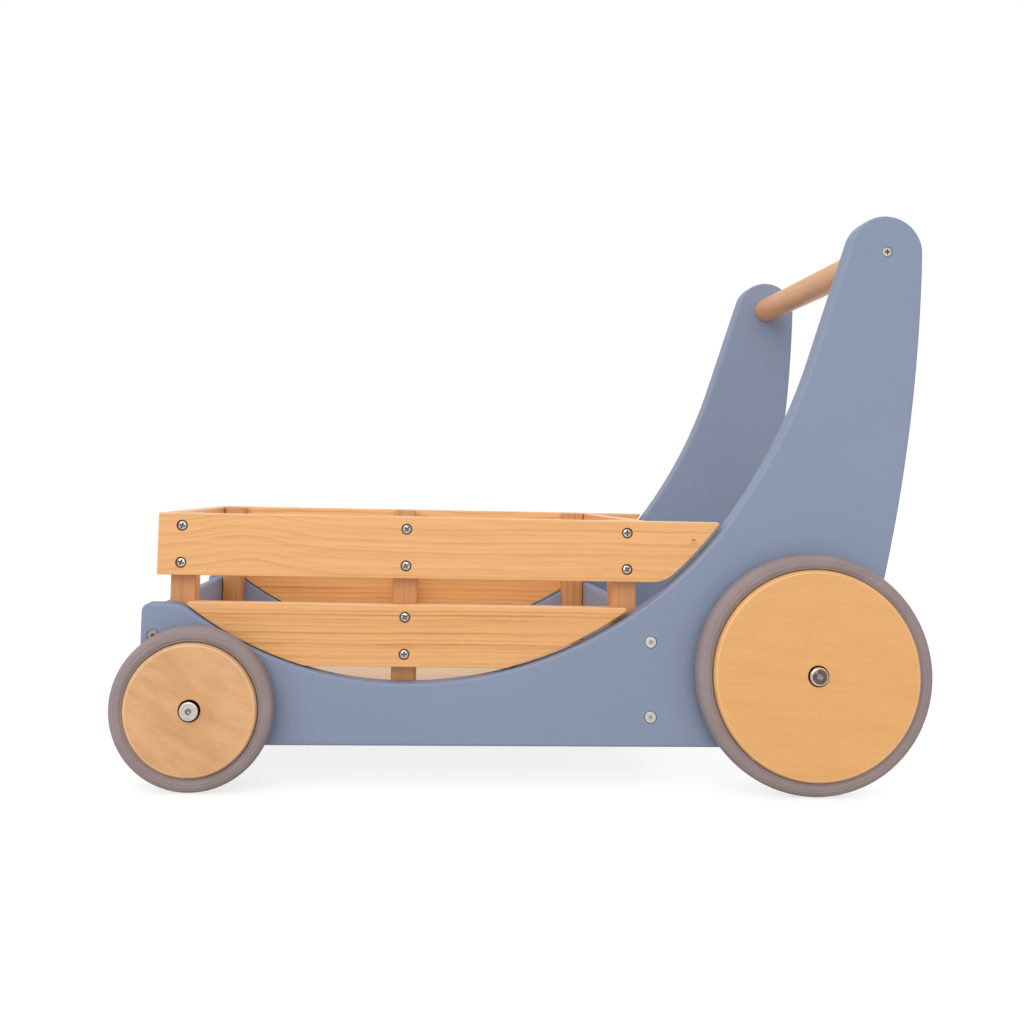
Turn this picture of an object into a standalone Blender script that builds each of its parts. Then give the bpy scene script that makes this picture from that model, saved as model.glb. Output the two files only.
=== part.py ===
"""Baby push walker: two painted side panels, a slatted pine crate, a beech handle and four rolling wheels.

Metres, +Z up. The walker stands on z = 0 with its length along X and the handle at +X.
It is pushed towards -X, so its left side is at -Y and its right side at +Y.
The origin is on the floor, under the middle of the overall length and width.
Lengthwise places are measured from the middle post of the crate, heights from the floor.
"""
import math

import bmesh
import bpy
from mathutils import Matrix, Vector

# Clearances
FIT_GAP = 0.0003
RUNNING_GAP = 0.0003
RAIL_GAP = 0.0043

# Side panels
PANEL_THICKNESS = 0.018
INNER_WIDTH = 0.270
PANEL_BOTTOM = 0.0295
SHOULDER_BELOW_RAIL = 0.001
SWEEP_LOW = 0.0765
REAR_SWEEP_RADIUS = 0.311
SHOULDER_FLAT = 0.0131
ARM_SOFTER = 0.159
ARM_STANDOFF = 0.0075
ARM_LEAN = math.radians(18.3)
ARM_TOP_RADIUS = 0.029
REAR_EDGE_RADIUS = 1.350
REAR_EDGE_TURN = math.radians(1.9)
SHOULDER_RADIUS = 0.025
FRONT_CORNER_RADIUS = 0.008
REAR_CORNER_RADIUS = 0.012
PANEL_EDGE_ROUND = 0.003

# Handle
HANDLE_DIAMETER = 0.0238
HANDLE_HEIGHT = 0.4185

# Crate: its posts stand a set share of the rear sweep's radius apart
POST_SIZE = 0.0195
POST_SHARE = 0.55
RAIL_HEIGHT = 0.047
RAIL_SPACE = 0.020
LOWER_RAIL_CLEAR = 0.0072
RAIL_THICKNESS = 0.012
END_RAIL_THICKNESS = 0.008
RAIL_CORNER_RADIUS = 0.040
FLOOR_TOP = 0.070
FLOOR_THICKNESS = 0.009
GROOVE_DEPTH = 0.005

# Cross boards
BOARD_THICKNESS = 0.015
BOARD_SETBACK = 0.002

# Wheels
FRONT_WHEEL_DIAMETER = 0.120
REAR_WHEEL_DIAMETER = 0.180
FRONT_AXLE_SETBACK = 0.0431
REAR_AXLE_BEFORE_HANDLE = 0.0673
TYRE_DEPTH = 0.0107
TYRE_WIDTH = 0.016
TYRE_SHOULDER = 0.003
DISC_THICKNESS = 0.018
DISC_EDGE_ROUND = 0.0018
HUB_RECESS_DIAMETER = 0.0165
HUB_RECESS_DEPTH = 0.004
SPACER_DIAMETER = 0.022
SPACER_THICKNESS = 0.006
AXLE_DIAMETER = 0.008
AXLE_HEAD_DIAMETER = 0.0135
AXLE_HEAD_HEIGHT = 0.005
AXLE_HEAD_ROUND = 0.0012
AXLE_HOLD = 0.015

# Board bolts: flat heads sunk into the panels, shanks in the ends of the boards
BOLT_INSET = 0.024
BOLT_HEAD_DIAMETER = 0.0098
BOLT_DIAMETER = 0.006
BOLT_GRIP = 0.030

# Rail screws: through a side rail into a post
SCREW_INSET = 0.0095
SCREW_HEAD_DIAMETER = 0.0078
SCREW_SUNK = 0.0008
SCREW_DIAMETER = 0.004
SCREW_GRIP = 0.013

# Handle screws: through a side panel into the end of the handle
HANDLE_SCREW_HEAD_DIAMETER = 0.0078
HANDLE_SCREW_DIAMETER = 0.0045
HANDLE_SCREW_GRIP = 0.030

HEAD_RIM = 0.0004
FLUSH_SUNK = 0.0002

# Fineness of the facets
ARC_CHORD = 0.018
ARC_TURN = math.radians(18)
WHEEL_SEGMENTS = 36
ROUND_SEGMENTS = 20
FASTENER_SEGMENTS = 8
EDGE_SEGMENTS = 2
CUT_PAST = 0.002

# Places worked out from the sizes above
HALF_INNER = INNER_WIDTH / 2
PANEL_OUT = HALF_INNER + PANEL_THICKNESS
POST_OUT = HALF_INNER - FIT_GAP
RAIL_OUT = HALF_INNER + RAIL_THICKNESS
LOWER_RAIL_BOTTOM = SWEEP_LOW + RAIL_GAP + LOWER_RAIL_CLEAR
LOWER_RAIL_TOP = LOWER_RAIL_BOTTOM + RAIL_HEIGHT
UPPER_RAIL_BOTTOM = LOWER_RAIL_TOP + RAIL_SPACE
CRATE_TOP = UPPER_RAIL_BOTTOM + RAIL_HEIGHT
SHOULDER_HEIGHT = LOWER_RAIL_TOP - SHOULDER_BELOW_RAIL
POST_SPACING = POST_SHARE * REAR_SWEEP_RADIUS
CRATE_HALF = POST_SPACING + POST_SIZE / 2
BOARD_IN = CRATE_HALF + FIT_GAP
BOARD_MIDDLE = BOARD_IN + BOARD_THICKNESS / 2
PANEL_FRONT = -(BOARD_IN + BOARD_THICKNESS + BOARD_SETBACK)
RAIL_FRONT = -(CRATE_HALF + FIT_GAP + END_RAIL_THICKNESS)
SHOULDER_AHEAD = -(PANEL_FRONT + FRONT_CORNER_RADIUS + SHOULDER_FLAT)
SWEEP_DEPTH = SHOULDER_HEIGHT - SWEEP_LOW
FRONT_SWEEP_RADIUS = (SHOULDER_AHEAD ** 2 + SWEEP_DEPTH ** 2) / (2 * SWEEP_DEPTH) - SHOULDER_RADIUS
FRONT_SWEEP_CENTRE = Vector((0.0, SWEEP_LOW + FRONT_SWEEP_RADIUS))
REAR_SWEEP_CENTRE = Vector((0.0, SWEEP_LOW + REAR_SWEEP_RADIUS))
ARM_RADIUS = REAR_SWEEP_RADIUS + ARM_SOFTER
ARM_REACH = REAR_SWEEP_RADIUS + ARM_STANDOFF
HANDLE_RISE = HANDLE_HEIGHT - REAR_SWEEP_CENTRE.y
HANDLE_BEHIND = (ARM_REACH + ARM_TOP_RADIUS + HANDLE_RISE * math.sin(ARM_LEAN)) / math.cos(ARM_LEAN)
HANDLE_CENTRE = Vector((HANDLE_BEHIND, HANDLE_HEIGHT))
FRONT_AXLE_AHEAD = -PANEL_FRONT - FRONT_AXLE_SETBACK
REAR_AXLE_BEHIND = HANDLE_BEHIND - REAR_AXLE_BEFORE_HANDLE
SPACER_IN = PANEL_OUT + FIT_GAP
DISC_IN = SPACER_IN + SPACER_THICKNESS + RUNNING_GAP
DISC_OUT = DISC_IN + DISC_THICKNESS
AXLE_SEAT = DISC_OUT - HUB_RECESS_DEPTH + RUNNING_GAP
BORE_RADIUS = AXLE_DIAMETER / 2 + RUNNING_GAP
FRONT_REACH = FRONT_AXLE_AHEAD + FRONT_WHEEL_DIAMETER / 2
REAR_REACH = max(HANDLE_BEHIND + ARM_TOP_RADIUS, REAR_AXLE_BEHIND + REAR_WHEEL_DIAMETER / 2)
MIDDLE_POST_X = (FRONT_REACH - REAR_REACH) / 2

SIDES = (("left", -1), ("right", 1))
POSTS = (("front", -POST_SPACING), ("middle", 0.0), ("rear", POST_SPACING))
BOARDS = (("front", -1), ("rear", 1))
BOLT_HEIGHTS = (("upper", SHOULDER_HEIGHT - BOLT_INSET), ("lower", PANEL_BOTTOM + BOLT_INSET))
WHEELS = (
    ("front", -FRONT_AXLE_AHEAD, FRONT_WHEEL_DIAMETER / 2),
    ("rear", REAR_AXLE_BEHIND, REAR_WHEEL_DIAMETER / 2),
)
UPPER_SCREW_HEIGHTS = (CRATE_TOP - SCREW_INSET, UPPER_RAIL_BOTTOM + SCREW_INSET)
LOWER_SCREW_HEIGHTS = (LOWER_RAIL_TOP - SCREW_INSET, LOWER_RAIL_BOTTOM + SCREW_INSET)

# Colours as seen, red, green and blue from 0 to 255, with roughness and metallic
FINISHES = {
    "slate_paint": ((138, 149, 172), 0.45, 0.0),
    "pine": ((230, 175, 120), 0.55, 0.0),
    "beech": ((205, 160, 130), 0.5, 0.0),
    "birch_ply": ((222, 165, 110), 0.5, 0.0),
    "rubber": ((155, 140, 135), 0.7, 0.0),
    "steel": ((200, 200, 205), 0.3, 1.0),
}


def clear_scene():
    """Remove whatever the file holds already."""
    for old in list(bpy.data.objects):
        bpy.data.objects.remove(old, do_unlink=True)


def linear(channel):
    """Linear light of one 0 to 255 display channel."""
    value = channel / 255
    if value <= 0.04045:
        return value / 12.92
    return ((value + 0.055) / 1.055) ** 2.4


def finish(name):
    """The material of that name, made on first use."""
    existing = bpy.data.materials.get(name)
    if existing:
        return existing
    colour, roughness, metallic = FINISHES[name]
    material = bpy.data.materials.new(name)
    material.use_nodes = True
    shader = material.node_tree.nodes["Principled BSDF"]
    shader.inputs["Base Color"].default_value = (*(linear(channel) for channel in colour), 1.0)
    shader.inputs["Roughness"].default_value = roughness
    shader.inputs["Metallic"].default_value = metallic
    return material


def empty(name, location=(0.0, 0.0, 0.0), parent=None):
    """An empty that carries a body, with its origin on the joint axis."""
    holder = bpy.data.objects.new(name, None)
    holder.location = location
    holder.parent = parent
    bpy.context.collection.objects.link(holder)
    return holder


def make(name, shape, material, parent, smooth=False):
    """Turn a bmesh into a named object with one finish under its parent."""
    bmesh.ops.recalc_face_normals(shape, faces=shape.faces)
    mesh = bpy.data.meshes.new(name)
    shape.to_mesh(mesh)
    shape.free()
    if smooth:
        mesh.shade_smooth()
        mesh.set_sharp_from_angle(angle=math.radians(35))
    mesh.materials.append(finish(material))
    piece = bpy.data.objects.new(name, mesh)
    piece.parent = parent
    bpy.context.collection.objects.link(piece)
    return piece


def drill(piece, cutters):
    """Cut every shape in cutters out of a piece with one hidden cutter object."""
    joined = bmesh.new()
    for shape in cutters:
        bmesh.ops.recalc_face_normals(shape, faces=shape.faces)
        scratch = bpy.data.meshes.new("cutter")
        shape.to_mesh(scratch)
        shape.free()
        joined.from_mesh(scratch)
        bpy.data.meshes.remove(scratch)
    mesh = bpy.data.meshes.new(piece.name + "_holes")
    joined.to_mesh(mesh)
    joined.free()
    cutter = bpy.data.objects.new(piece.name + "_holes", mesh)
    cutter.parent = piece
    cutter.hide_render = True
    cutter.display_type = "WIRE"
    bpy.context.collection.objects.link(cutter)
    cut = piece.modifiers.new("holes", "BOOLEAN")
    cut.operation = "DIFFERENCE"
    cut.solver = "EXACT"
    cut.object = cutter


def arc(centre, radius, start, end):
    """Points along an arc, both ends included, angles anticlockwise from +X."""
    turn = abs(end - start)
    steps = max(1, math.ceil(turn * radius / ARC_CHORD), math.ceil(turn / ARC_TURN))
    points = []
    for step in range(steps + 1):
        angle = start + (end - start) * step / steps
        points.append(Vector((centre[0] + radius * math.cos(angle), centre[1] + radius * math.sin(angle))))
    return points


def bearing(vector):
    """Direction of a vector as an angle anticlockwise from +X."""
    return math.atan2(vector[1], vector[0])


def prism(outline, low, high, edge_round=0.0):
    """Extrude an outline in X and Z from y = low to y = high, with its long edges rounded over."""
    shape = bmesh.new()
    kept = []
    for point in outline:
        if not kept or (point - kept[-1]).length > 1e-6:
            kept.append(point)
    if (kept[0] - kept[-1]).length <= 1e-6:
        kept.pop()
    base = shape.faces.new([shape.verts.new((x, low, z)) for x, z in kept])
    raised = bmesh.ops.extrude_face_region(shape, geom=[base])["geom"]
    far = [item for item in raised if isinstance(item, bmesh.types.BMVert)]
    bmesh.ops.translate(shape, verts=far, vec=(0.0, high - low, 0.0))
    if edge_round > 0.0:
        rims = [edge for edge in shape.edges if abs(edge.verts[0].co.y - edge.verts[1].co.y) < 1e-9]
        bmesh.ops.bevel(
            shape, geom=rims, offset=edge_round, offset_type="OFFSET", segments=EDGE_SEGMENTS,
            profile=0.5, affect="EDGES", clamp_overlap=True,
        )
    return shape


def block(low, high):
    """A box between two corners."""
    shape = bmesh.new()
    size = Vector(high) - Vector(low)
    middle = (Vector(high) + Vector(low)) / 2
    bmesh.ops.create_cube(shape, size=1.0, matrix=Matrix.Translation(middle) @ Matrix.Diagonal((*size, 1.0)))
    return shape


def turned(profile, segments, closed=False):
    """Spin a profile of (radius, y) points about the Y axis. A closed profile makes a ring."""
    shape = bmesh.new()
    points = [shape.verts.new((radius, y, 0.0)) for radius, y in profile]
    pairs = list(zip(points, points[1:]))
    if closed:
        pairs.append((points[-1], points[0]))
    edges = [shape.edges.new(pair) for pair in pairs]
    bmesh.ops.spin(
        shape, geom=points + edges, cent=(0, 0, 0), axis=(0, 1, 0), angle=2 * math.pi, steps=segments, use_merge=True,
    )
    bmesh.ops.remove_doubles(shape, verts=shape.verts, dist=1e-6)
    return shape


def moved(shape, x, z):
    """Shift a shape lengthwise and upwards."""
    bmesh.ops.translate(shape, verts=shape.verts, vec=(x, 0.0, z))
    return shape


def sunk_head(outside, sunk, head_diameter, diameter, tip):
    """Profile of a flat-headed screw from its head, sunk below y = outside, to its tip at y = tip."""
    head = head_diameter / 2
    shank = diameter / 2
    top = outside - sunk
    neck = top - HEAD_RIM - (head - shank)
    return [(0.0, top), (head, top), (head, top - HEAD_RIM), (shank, neck), (shank, tip), (0.0, tip)]


def sunk_hole(outside, sunk, head_diameter, diameter, tip):
    """Profile of the hole that a flat-headed screw sits in, wider by the fit gap."""
    head = head_diameter / 2 + FIT_GAP
    shank = diameter / 2 + FIT_GAP
    rim = outside - sunk - HEAD_RIM
    neck = rim - (head - shank)
    mouth = outside + CUT_PAST
    return [(0.0, mouth), (head, mouth), (head, rim), (shank, neck), (shank, tip - FIT_GAP), (0.0, tip - FIT_GAP)]


def mirrored(profile, side):
    """A profile on the right side, or its mirror image on the left."""
    return [(radius, side * y) for radius, y in profile]


def bolt_sizes():
    """Head plane, sink, head, shank and tip of a board bolt."""
    return PANEL_OUT, FLUSH_SUNK, BOLT_HEAD_DIAMETER, BOLT_DIAMETER, POST_OUT - BOLT_GRIP


def screw_sizes():
    """Head plane, sink, head, shank and tip of a rail screw."""
    return RAIL_OUT, SCREW_SUNK, SCREW_HEAD_DIAMETER, SCREW_DIAMETER, POST_OUT - SCREW_GRIP


def handle_screw_sizes():
    """Head plane, sink, head, shank and tip of a handle screw."""
    return PANEL_OUT, FLUSH_SUNK, HANDLE_SCREW_HEAD_DIAMETER, HANDLE_SCREW_DIAMETER, POST_OUT - HANDLE_SCREW_GRIP


def panel_outline():
    """Side panel seen from the left: low shoulder, sweep up into a leaning arm, round top, straight bottom."""
    corner = Vector((PANEL_FRONT + FRONT_CORNER_RADIUS, PANEL_BOTTOM + FRONT_CORNER_RADIUS))
    points = arc(corner, FRONT_CORNER_RADIUS, math.radians(270), math.radians(180))
    corner = Vector((PANEL_FRONT + FRONT_CORNER_RADIUS, SHOULDER_HEIGHT - FRONT_CORNER_RADIUS))
    points += arc(corner, FRONT_CORNER_RADIUS, math.radians(180), math.radians(90))

    # The shoulder rounds over and touches the front sweep from outside
    shoulder = Vector((-SHOULDER_AHEAD, SHOULDER_HEIGHT - SHOULDER_RADIUS))
    points += arc(shoulder, SHOULDER_RADIUS, math.radians(90), bearing(FRONT_SWEEP_CENTRE - shoulder))
    start = bearing(shoulder - FRONT_SWEEP_CENTRE) + 2 * math.pi
    points += arc(FRONT_SWEEP_CENTRE, FRONT_SWEEP_RADIUS, start, math.radians(270))

    # The arm's own curve is tangent to the rear sweep and to the arm's straight leaning edge
    away = Vector((-math.cos(ARM_LEAN), math.sin(ARM_LEAN)))
    inward = bearing(away) - math.acos(1.0 - ARM_STANDOFF / ARM_SOFTER)
    outward = inward + math.pi
    points += arc(REAR_SWEEP_CENTRE, REAR_SWEEP_RADIUS, math.radians(270), outward)
    step_back = (ARM_RADIUS - REAR_SWEEP_RADIUS) * Vector((math.cos(inward), math.sin(inward)))
    points += arc(REAR_SWEEP_CENTRE + step_back, ARM_RADIUS, outward, bearing(away) + math.pi)

    # Round top about the handle, then the long rear edge and its lower corner
    points += arc(HANDLE_CENTRE, ARM_TOP_RADIUS, bearing(away), math.radians(90))
    points += arc(HANDLE_CENTRE, ARM_TOP_RADIUS, math.radians(90), 0.0)
    points += arc(HANDLE_CENTRE, ARM_TOP_RADIUS, 0.0, -REAR_EDGE_TURN)
    rear_reach = REAR_EDGE_RADIUS - ARM_TOP_RADIUS
    rear = HANDLE_CENTRE - rear_reach * Vector((math.cos(REAR_EDGE_TURN), -math.sin(REAR_EDGE_TURN)))
    fall = PANEL_BOTTOM + REAR_CORNER_RADIUS - rear.y
    corner = rear + Vector((math.sqrt((REAR_EDGE_RADIUS - REAR_CORNER_RADIUS) ** 2 - fall ** 2), fall))
    low_end = bearing(corner - rear)
    points += arc(rear, REAR_EDGE_RADIUS, -REAR_EDGE_TURN, low_end)
    points += arc(corner, REAR_CORNER_RADIUS, low_end, math.radians(-90))
    return points


def upper_rail_outline():
    """Upper side rail: square front end, rear end following the sweep with a rounded lower corner."""
    bottom = UPPER_RAIL_BOTTOM
    sweep = REAR_SWEEP_RADIUS - RAIL_GAP
    drop = REAR_SWEEP_CENTRE.y - bottom - RAIL_CORNER_RADIUS
    behind = math.sqrt((sweep - RAIL_CORNER_RADIUS) ** 2 - drop ** 2)
    corner = REAR_SWEEP_CENTRE + Vector((behind, -drop))
    turn = bearing(corner - REAR_SWEEP_CENTRE)
    tip = math.asin((CRATE_TOP - REAR_SWEEP_CENTRE.y) / sweep)
    points = [Vector((RAIL_FRONT, CRATE_TOP)), Vector((RAIL_FRONT, bottom))]
    points += arc(corner, RAIL_CORNER_RADIUS, math.radians(-90), turn)
    points += arc(REAR_SWEEP_CENTRE, sweep, turn, tip)
    return points


def lower_rail_outline():
    """Lower side rail: a boat shape that follows both sweeps, with a flat middle."""
    top = LOWER_RAIL_TOP
    bottom = LOWER_RAIL_BOTTOM
    points = []
    front = FRONT_SWEEP_RADIUS - RAIL_GAP
    start = math.pi + math.asin((FRONT_SWEEP_CENTRE.y - top) / front)
    end = math.pi + math.asin((FRONT_SWEEP_CENTRE.y - bottom) / front)
    points += arc(FRONT_SWEEP_CENTRE, front, start, end)
    rear = REAR_SWEEP_RADIUS - RAIL_GAP
    start = math.asin((bottom - REAR_SWEEP_CENTRE.y) / rear)
    end = math.asin((top - REAR_SWEEP_CENTRE.y) / rear)
    points += arc(REAR_SWEEP_CENTRE, rear, start, end)
    return points


def side_panel(name, side, frame):
    """Painted side panel with its handle screw, board bolt and axle holes."""
    low, high = sorted((side * HALF_INNER, side * PANEL_OUT))
    panel = make(name + "_side_panel", prism(panel_outline(), low, high, PANEL_EDGE_ROUND), "slate_paint", frame)
    holes = [moved(turned(mirrored(sunk_hole(*handle_screw_sizes()), side), FASTENER_SEGMENTS), *HANDLE_CENTRE)]
    for _, end in BOARDS:
        for _, height in BOLT_HEIGHTS:
            hole = turned(mirrored(sunk_hole(*bolt_sizes()), side), FASTENER_SEGMENTS)
            holes.append(moved(hole, end * BOARD_MIDDLE, height))
    floor = PANEL_OUT - AXLE_HOLD - FIT_GAP
    mouth = PANEL_OUT + CUT_PAST
    bore = [(0.0, mouth), (BORE_RADIUS, mouth), (BORE_RADIUS, floor), (0.0, floor)]
    for _, x, radius in WHEELS:
        holes.append(moved(turned(mirrored(bore, side), FASTENER_SEGMENTS), x, radius))
    drill(panel, holes)


def cross_board(name, end, frame):
    """Painted board between the panels, grooved on its inner face for the floor."""
    inner = end * BOARD_IN
    outer = end * (BOARD_IN + BOARD_THICKNESS)
    groove = end * (BOARD_IN + GROOVE_DEPTH)
    groove_top = FLOOR_TOP + FIT_GAP
    groove_bottom = FLOOR_TOP - FLOOR_THICKNESS - FIT_GAP
    outline = [
        (outer, PANEL_BOTTOM), (outer, SHOULDER_HEIGHT), (inner, SHOULDER_HEIGHT), (inner, groove_top),
        (groove, groove_top), (groove, groove_bottom), (inner, groove_bottom), (inner, PANEL_BOTTOM),
    ]
    board = make(
        name + "_cross_board", prism([Vector(point) for point in outline], -POST_OUT, POST_OUT), "slate_paint", frame,
    )
    holes = []
    for _, side in SIDES:
        for _, height in BOLT_HEIGHTS:
            hole = turned(mirrored(sunk_hole(*bolt_sizes()), side), FASTENER_SEGMENTS)
            holes.append(moved(hole, end * BOARD_MIDDLE, height))
    drill(board, holes)


def board_bolts(name, side, frame):
    """The four bolts that hold one panel to the two boards."""
    for end_name, end in BOARDS:
        for level, height in BOLT_HEIGHTS:
            bolt = turned(mirrored(sunk_head(*bolt_sizes()), side), FASTENER_SEGMENTS)
            bolt = moved(bolt, end * BOARD_MIDDLE, height)
            make(f"{name}_{end_name}_{level}_board_bolt", bolt, "steel", frame, smooth=True)


def handle_bar(frame):
    """Beech dowel between the arms, drilled at both ends."""
    radius = HANDLE_DIAMETER / 2
    dowel = turned([(0.0, -POST_OUT), (radius, -POST_OUT), (radius, POST_OUT), (0.0, POST_OUT)], ROUND_SEGMENTS)
    bar = make("handle_bar", moved(dowel, *HANDLE_CENTRE), "beech", frame, smooth=True)
    holes = []
    for _, side in SIDES:
        hole = turned(mirrored(sunk_hole(*handle_screw_sizes()), side), FASTENER_SEGMENTS)
        holes.append(moved(hole, *HANDLE_CENTRE))
    drill(bar, holes)


def handle_screw(name, side, frame):
    """Screw through a panel into the end of the handle."""
    screw = turned(mirrored(sunk_head(*handle_screw_sizes()), side), FASTENER_SEGMENTS)
    make(name + "_handle_screw", moved(screw, *HANDLE_CENTRE), "steel", frame, smooth=True)


def screw_holes(side, x, heights):
    """Holes for the rail screws at one post."""
    holes = []
    for height in heights:
        hole = turned(mirrored(sunk_hole(*screw_sizes()), side), FASTENER_SEGMENTS)
        holes.append(moved(hole, x, height))
    return holes


def posts(name, side, frame):
    """The three square posts along one side, standing on the floor."""
    half = POST_SIZE / 2
    low, high = sorted((side * (POST_OUT - POST_SIZE), side * POST_OUT))
    for post_name, x in POSTS:
        shape = block((x - half, low, FLOOR_TOP + FIT_GAP), (x + half, high, CRATE_TOP))
        post = make(f"{name}_{post_name}_post", shape, "pine", frame)
        heights = UPPER_SCREW_HEIGHTS
        if post_name == "middle":
            heights = UPPER_SCREW_HEIGHTS + LOWER_SCREW_HEIGHTS
        drill(post, screw_holes(side, x, heights))


def side_rails(name, side, frame):
    """Upper and lower rail of one side, with the screws that hold them to the posts."""
    low, high = sorted((side * HALF_INNER, side * RAIL_OUT))
    rails = (
        ("upper", upper_rail_outline(), UPPER_SCREW_HEIGHTS, POSTS),
        ("lower", lower_rail_outline(), LOWER_SCREW_HEIGHTS, POSTS[1:2]),
    )
    for level, outline, heights, held_at in rails:
        rail = make(f"{name}_{level}_rail", prism(outline, low, high), "pine", frame)
        holes = []
        for post_name, x in held_at:
            holes += screw_holes(side, x, heights)
            for place, height in zip(("top", "bottom"), heights):
                screw = moved(turned(mirrored(sunk_head(*screw_sizes()), side), FASTENER_SEGMENTS), x, height)
                make(f"{name}_{level}_rail_{post_name}_{place}_screw", screw, "steel", frame, smooth=True)
        drill(rail, holes)


def end_rail(name, end, frame):
    """Rail across the crate, outside the corner posts and between the side rails."""
    near = end * (CRATE_HALF + FIT_GAP)
    far = end * (CRATE_HALF + FIT_GAP + END_RAIL_THICKNESS)
    low, high = sorted((near, far))
    shape = block((low, -POST_OUT, UPPER_RAIL_BOTTOM), (high, POST_OUT, CRATE_TOP))
    make(name + "_end_rail", shape, "pine", frame)


def floor_board(frame):
    """Crate floor, held in the grooves of the two cross boards."""
    reach = CRATE_HALF + GROOVE_DEPTH
    shape = block((-reach, -POST_OUT, FLOOR_TOP - FLOOR_THICKNESS), (reach, POST_OUT, FLOOR_TOP))
    make("floor_board", shape, "pine", frame)


def tyre_profile(inside, outside):
    """Closed section of a tyre about the middle of its width: flat bed, short walls, round tread."""
    half = TYRE_WIDTH / 2
    wall = inside + TYRE_SHOULDER
    tread = [(wall + (outside - wall) * math.cos(math.radians(angle)), half * math.sin(math.radians(angle)))
             for angle in range(-90, 91, 45)]
    return [(inside, -half)] + tread + [(inside, half)]


def wheel(name, side, x, radius, frame):
    """One wheel: disc and tyre turning together on a bolt, kept off the panel by a spacer."""
    place = Vector((x, 0.0, radius))
    hub = empty(f"{name}_wheel", place, frame)
    rim = radius - TYRE_DEPTH
    recess = HUB_RECESS_DIAMETER / 2
    disc = [
        (BORE_RADIUS, DISC_IN), (rim - DISC_EDGE_ROUND, DISC_IN), (rim, DISC_IN + DISC_EDGE_ROUND),
        (rim, DISC_OUT - DISC_EDGE_ROUND), (rim - DISC_EDGE_ROUND, DISC_OUT), (recess, DISC_OUT),
        (recess, DISC_OUT - HUB_RECESS_DEPTH), (BORE_RADIUS, DISC_OUT - HUB_RECESS_DEPTH),
    ]
    shape = turned(mirrored(disc, side), WHEEL_SEGMENTS, closed=True)
    make(f"{name}_wheel_disc", shape, "birch_ply", hub, smooth=True)

    middle = (DISC_IN + DISC_OUT) / 2
    tyre = [(r, middle + across) for r, across in tyre_profile(rim + FIT_GAP, radius)]
    shape = turned(mirrored(tyre, side), WHEEL_SEGMENTS, closed=True)
    make(f"{name}_tyre", shape, "rubber", hub, smooth=True)

    head = AXLE_HEAD_DIAMETER / 2
    shank = AXLE_DIAMETER / 2
    top = AXLE_SEAT + AXLE_HEAD_HEIGHT
    tip = PANEL_OUT - AXLE_HOLD
    bolt = [
        (0.0, top), (head - AXLE_HEAD_ROUND, top), (head, top - AXLE_HEAD_ROUND), (head, AXLE_SEAT),
        (shank, AXLE_SEAT), (shank, tip), (0.0, tip),
    ]
    shape = moved(turned(mirrored(bolt, side), FASTENER_SEGMENTS), x, radius)
    make(f"{name}_axle_bolt", shape, "steel", frame, smooth=True)

    outside = SPACER_DIAMETER / 2
    spacer_out = SPACER_IN + SPACER_THICKNESS
    spacer = [(BORE_RADIUS, SPACER_IN), (outside, SPACER_IN), (outside, spacer_out), (BORE_RADIUS, spacer_out)]
    shape = moved(turned(mirrored(spacer, side), ROUND_SEGMENTS, closed=True), x, radius)
    make(f"{name}_axle_spacer", shape, "steel", frame, smooth=True)


def build():
    """Put the whole walker together on one frame empty."""
    clear_scene()
    frame = empty("frame", (MIDDLE_POST_X, 0.0, 0.0))
    for name, side in SIDES:
        side_panel(name, side, frame)
        board_bolts(name, side, frame)
        handle_screw(name, side, frame)
        posts(name, side, frame)
        side_rails(name, side, frame)
        for end_name, x, radius in WHEELS:
            wheel(f"{end_name}_{name}", side, x, radius, frame)
    for name, end in BOARDS:
        cross_board(name, end, frame)
        end_rail(name, end, frame)
    handle_bar(frame)
    floor_board(frame)


build()
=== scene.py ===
# %% [markdown]
# # A wooden push walker
# A toddler holds the handle of this cart, walks behind it and carries toys in its crate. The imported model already
# gives every piece its place and its size. This lesson gives each piece its finer shape and its finish: satin paint,
# lacquered pine, beech, plywood, rubber and bright steel. Before each step a few sentences say what the piece is on
# the real walker, how it could be made, and why it is made this way here.

# %% Load the fixed frame
import math

import bmesh
import bpy
import numpy as np
from mathutils import Matrix, Vector, geometry


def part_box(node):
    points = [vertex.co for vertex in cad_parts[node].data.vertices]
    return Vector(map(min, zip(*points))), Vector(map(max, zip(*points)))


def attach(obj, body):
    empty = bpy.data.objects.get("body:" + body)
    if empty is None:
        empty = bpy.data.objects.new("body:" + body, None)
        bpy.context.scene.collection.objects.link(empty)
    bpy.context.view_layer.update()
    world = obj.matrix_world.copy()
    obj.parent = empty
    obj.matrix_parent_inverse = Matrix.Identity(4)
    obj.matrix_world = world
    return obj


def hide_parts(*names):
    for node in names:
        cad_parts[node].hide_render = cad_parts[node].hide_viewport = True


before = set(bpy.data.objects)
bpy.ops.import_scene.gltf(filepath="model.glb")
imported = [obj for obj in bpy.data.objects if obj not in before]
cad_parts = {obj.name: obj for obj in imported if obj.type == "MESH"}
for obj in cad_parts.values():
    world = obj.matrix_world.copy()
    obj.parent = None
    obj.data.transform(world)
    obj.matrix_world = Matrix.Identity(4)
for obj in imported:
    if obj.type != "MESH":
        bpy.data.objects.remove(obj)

MM = 0.001
scene = bpy.context.scene
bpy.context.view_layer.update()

# %% [markdown]
# ## The camera
# The picture was taken low, a little to the right of the front wheel, with the camera nearly level. Such a camera
# can be placed by eye, but four facts are enough to place it exactly: where it stands, how it is turned, its focal
# length in pixels, and the pixel that its line of sight passes through. The last one becomes the lens shift.

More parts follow.
